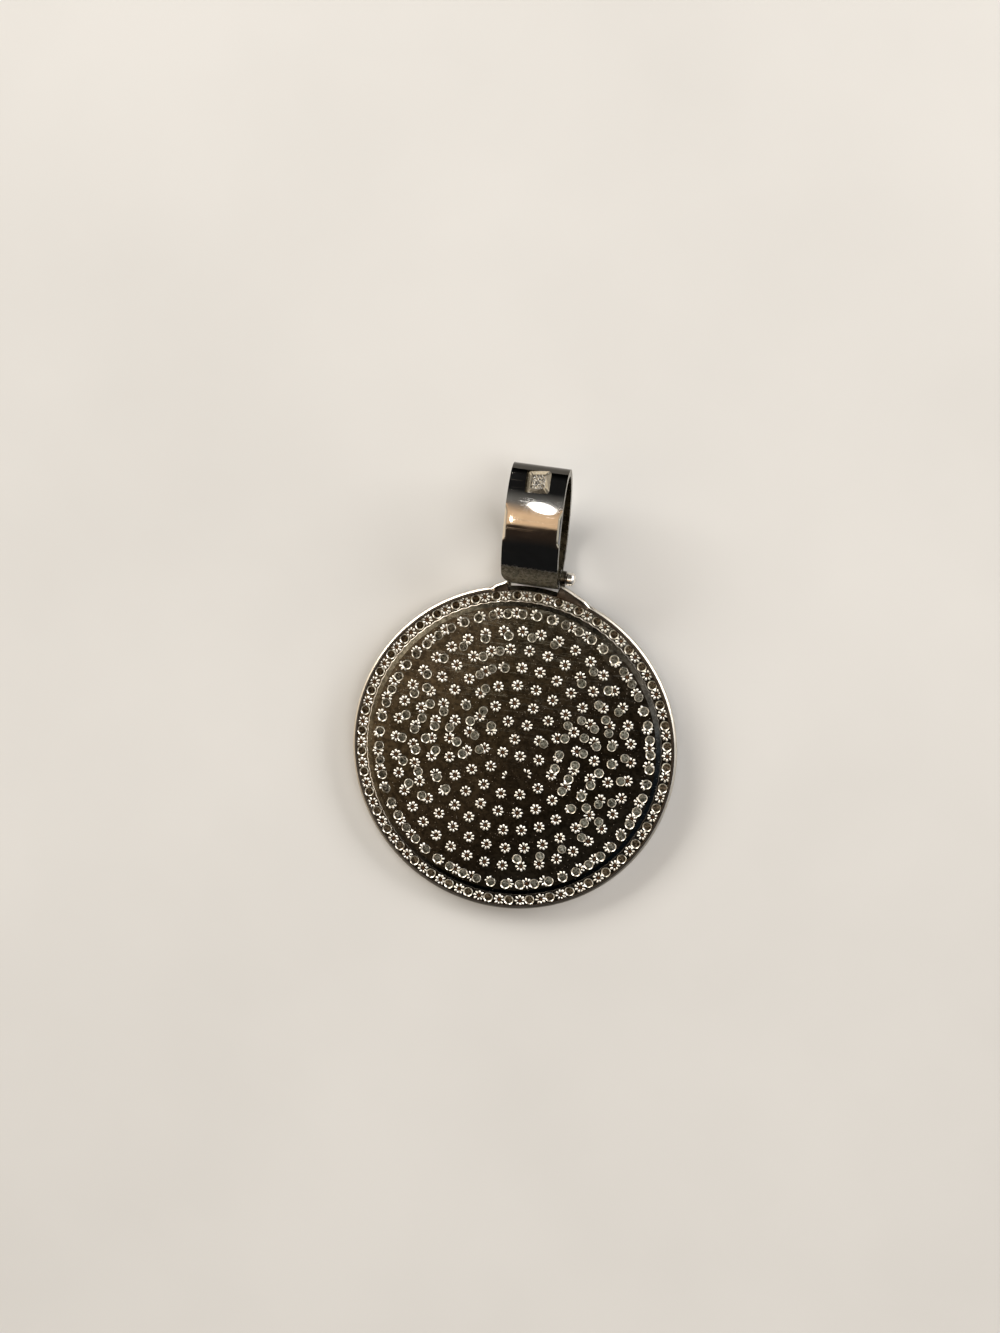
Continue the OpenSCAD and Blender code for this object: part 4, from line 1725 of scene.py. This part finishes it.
@dataclass
class Studio:
    """The floor, the lamps and the dim surroundings."""

    floor_size: float = 3.0
    floor_smooth_deg: float = 30.0
    dim: Colour = (0.008, 0.008, 0.008)
    pale: Colour = (0.6, 0.6, 0.59)
    glows: Tuple[Glow, ...] = (
        Glow(
            x=(-1.1, -0.48, 0.1, 0.2), y=(-0.8, 0.9, 0.3, 0.3), z=(-0.1, 0.8, 0.1, 0.3),
            colour=(0.75, 0.62, 0.46),
        ),
        Glow(
            x=(0.48, 1.1, 0.2, 0.1), y=(-0.8, 0.9, 0.3, 0.3), z=(-0.1, 0.6, 0.1, 0.3),
            colour=(0.3, 0.32, 0.37),
        ),
        Glow(
            x=(-0.48, 0.2, 0.1, 0.1), y=(-0.66, -0.43, 0.14, 0.04), z=(0.5, 1.1, 0.2, 0.1),
            colour=(0.024, 0.016, 0.011),
        ),
        Glow(
            x=(-0.48, 0.2, 0.1, 0.1), y=(-0.455, -0.12, 0.03, 0.34), z=(0.5, 1.1, 0.2, 0.1),
            colour=(0.74, 0.5, 0.3),
        ),
        Glow(
            x=(0.2, 0.5, 0.06, 0.1), y=(-0.62, -0.08, 0.06, 0.1), z=(0.3, 1.1, 0.1, 0.1),
            colour=(0.46, 0.42, 0.34),
        ),
        Glow(
            x=(-0.4, 0.14, 0.1, 0.1), y=(-0.12, 0.16, 0.24, 0.28), z=(0.5, 1.1, 0.2, 0.1),
            colour=(0.14, 0.135, 0.125),
        ),
    )
    lamps: Tuple[Lamp, ...] = (
        Lamp("left_lamp", toward=(-0.7, 0.6, 0.36), distance=0.8, width=0.7, height=0.22, radiance=16.0),
        Lamp(
            "right_lamp", toward=(0.75, 0.55, 0.36), distance=0.8, width=0.6, height=0.22, radiance=12.0,
            colour=(1.0, 0.98, 0.96),
        ),
        Lamp(
            "high_lamp", toward=(0.52, 0.1, 0.85), distance=0.9, width=0.4, height=0.5, radiance=4.0,
            colour=(1.0, 0.98, 0.95),
        ),
        Lamp(
            "top_lamp", toward=(-0.078, -0.034, 1.0), distance=0.35, width=0.054, height=0.086, radiance=4.5,
            colour=(1.0, 0.99, 0.96), shape="ELLIPSE", turn_deg=93.0,
        ),
        Lamp(
            "spot_lamp", toward=(-0.285, -0.36, 0.888), distance=1.0, width=0.04, height=0.1, radiance=6.0,
            colour=(1.0, 0.85, 0.68), shape="ELLIPSE", turn_deg=40.0,
        ),
    )

    def build_floor(self) -> bpy.types.Object:
        """Lays the floor.

        Returns:
            The floor, which isn't part of the pendant.
        """
        half = self.floor_size / 2
        corners = np.array([(-half, -half, 0.0), (half, -half, 0.0), (half, half, 0.0), (-half, half, 0.0)])
        floor = piece_from("floor", corners, [(0, 1, 2, 3)], self.floor_smooth_deg)
        floor.data.materials.append(PaleFloor().build())
        return floor

    def window(
        self, sheet: Sheet, value: bpy.types.NodeSocket, span: Stretch
    ) -> bpy.types.NodeSocket:
        """Makes a soft-edged window on one component of the direction.

        Args:
            sheet: The surroundings' sheet.
            value: The component.
            span: Where the window starts and ends, and the softness of each end.

        Returns:
            The socket that is 1 inside the window and 0 outside.
        """
        low, high, soft_low, soft_high = span
        rise = sheet.spread(value, low - soft_low / 2, low + soft_low / 2)
        fall = sheet.spread(value, high - soft_high / 2, high + soft_high / 2, 1.0, 0.0)
        return sheet.math("MULTIPLY", rise, fall)

    def build_world(self) -> None:
        """Sets dim surroundings that only the camera sees as pale."""
        world = bpy.data.worlds.new("studio")
        world.use_nodes = True
        bpy.context.scene.world = world
        sheet = Sheet(world.node_tree)
        world.node_tree.nodes.clear()
        place = sheet.add("ShaderNodeTexCoord")
        x, y, z = sheet.add("ShaderNodeSeparateXYZ", {0: place.outputs["Generated"]}).outputs
        tone: Any = rgba(self.dim)
        for glow in self.glows:
            share = sheet.math("MULTIPLY", self.window(sheet, x, glow.x), self.window(sheet, y, glow.y))
            share = sheet.math("MULTIPLY", share, self.window(sheet, z, glow.z))
            tone = sheet.blend(share, tone, rgba(glow.colour))
        dim = sheet.add("ShaderNodeBackground", {"Color": tone, "Strength": 1.0})
        pale = sheet.add("ShaderNodeBackground", {"Color": rgba(self.pale), "Strength": 1.0})
        seen = sheet.add("ShaderNodeLightPath").outputs["Is Camera Ray"]
        mix = sheet.add("ShaderNodeMixShader", {0: seen, 1: dim.outputs[0], 2: pale.outputs[0]})
        sheet.add("ShaderNodeOutputWorld", {0: mix.outputs[0]})

    def build(self) -> None:
        """Builds the floor, the lamps, the surroundings and the camera."""
        self.build_floor()
        for lamp in self.lamps:
            lamp.build()
        self.build_world()
        PhotoCamera().build()
        view = bpy.context.scene.view_settings
        view.view_transform = "Standard"
        view.look = "None"
        log.info("studio: %d lamps", len(self.lamps))


def main() -> None:
    """Builds every part of the pendant in order and sets up the studio."""
    logging.basicConfig(level=logging.INFO, format="%(name)s %(message)s")
    for effect in (WornPolish(), FineSpecks(), ToneDrift()):
        effect.build()
    for piece in Disc().build():
        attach(piece, Body.COIN.value)
    for group in (
        CutStones("border_stones", "border_cut", BORDER_GLASS),
        CutStones("field_stones", "field_cut", FIELD_GLASS),
    ):
        stones = group.build()
        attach(stones, Body.COIN.value)
    pin = HingePin().build()
    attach(pin, Body.COIN.value)
    band = Bail().build()
    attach(band, Body.LOOP.value)
    square = SquareStone().build()
    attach(square, Body.LOOP.value)
    Studio().build()


if __name__ == "__main__":
    main()
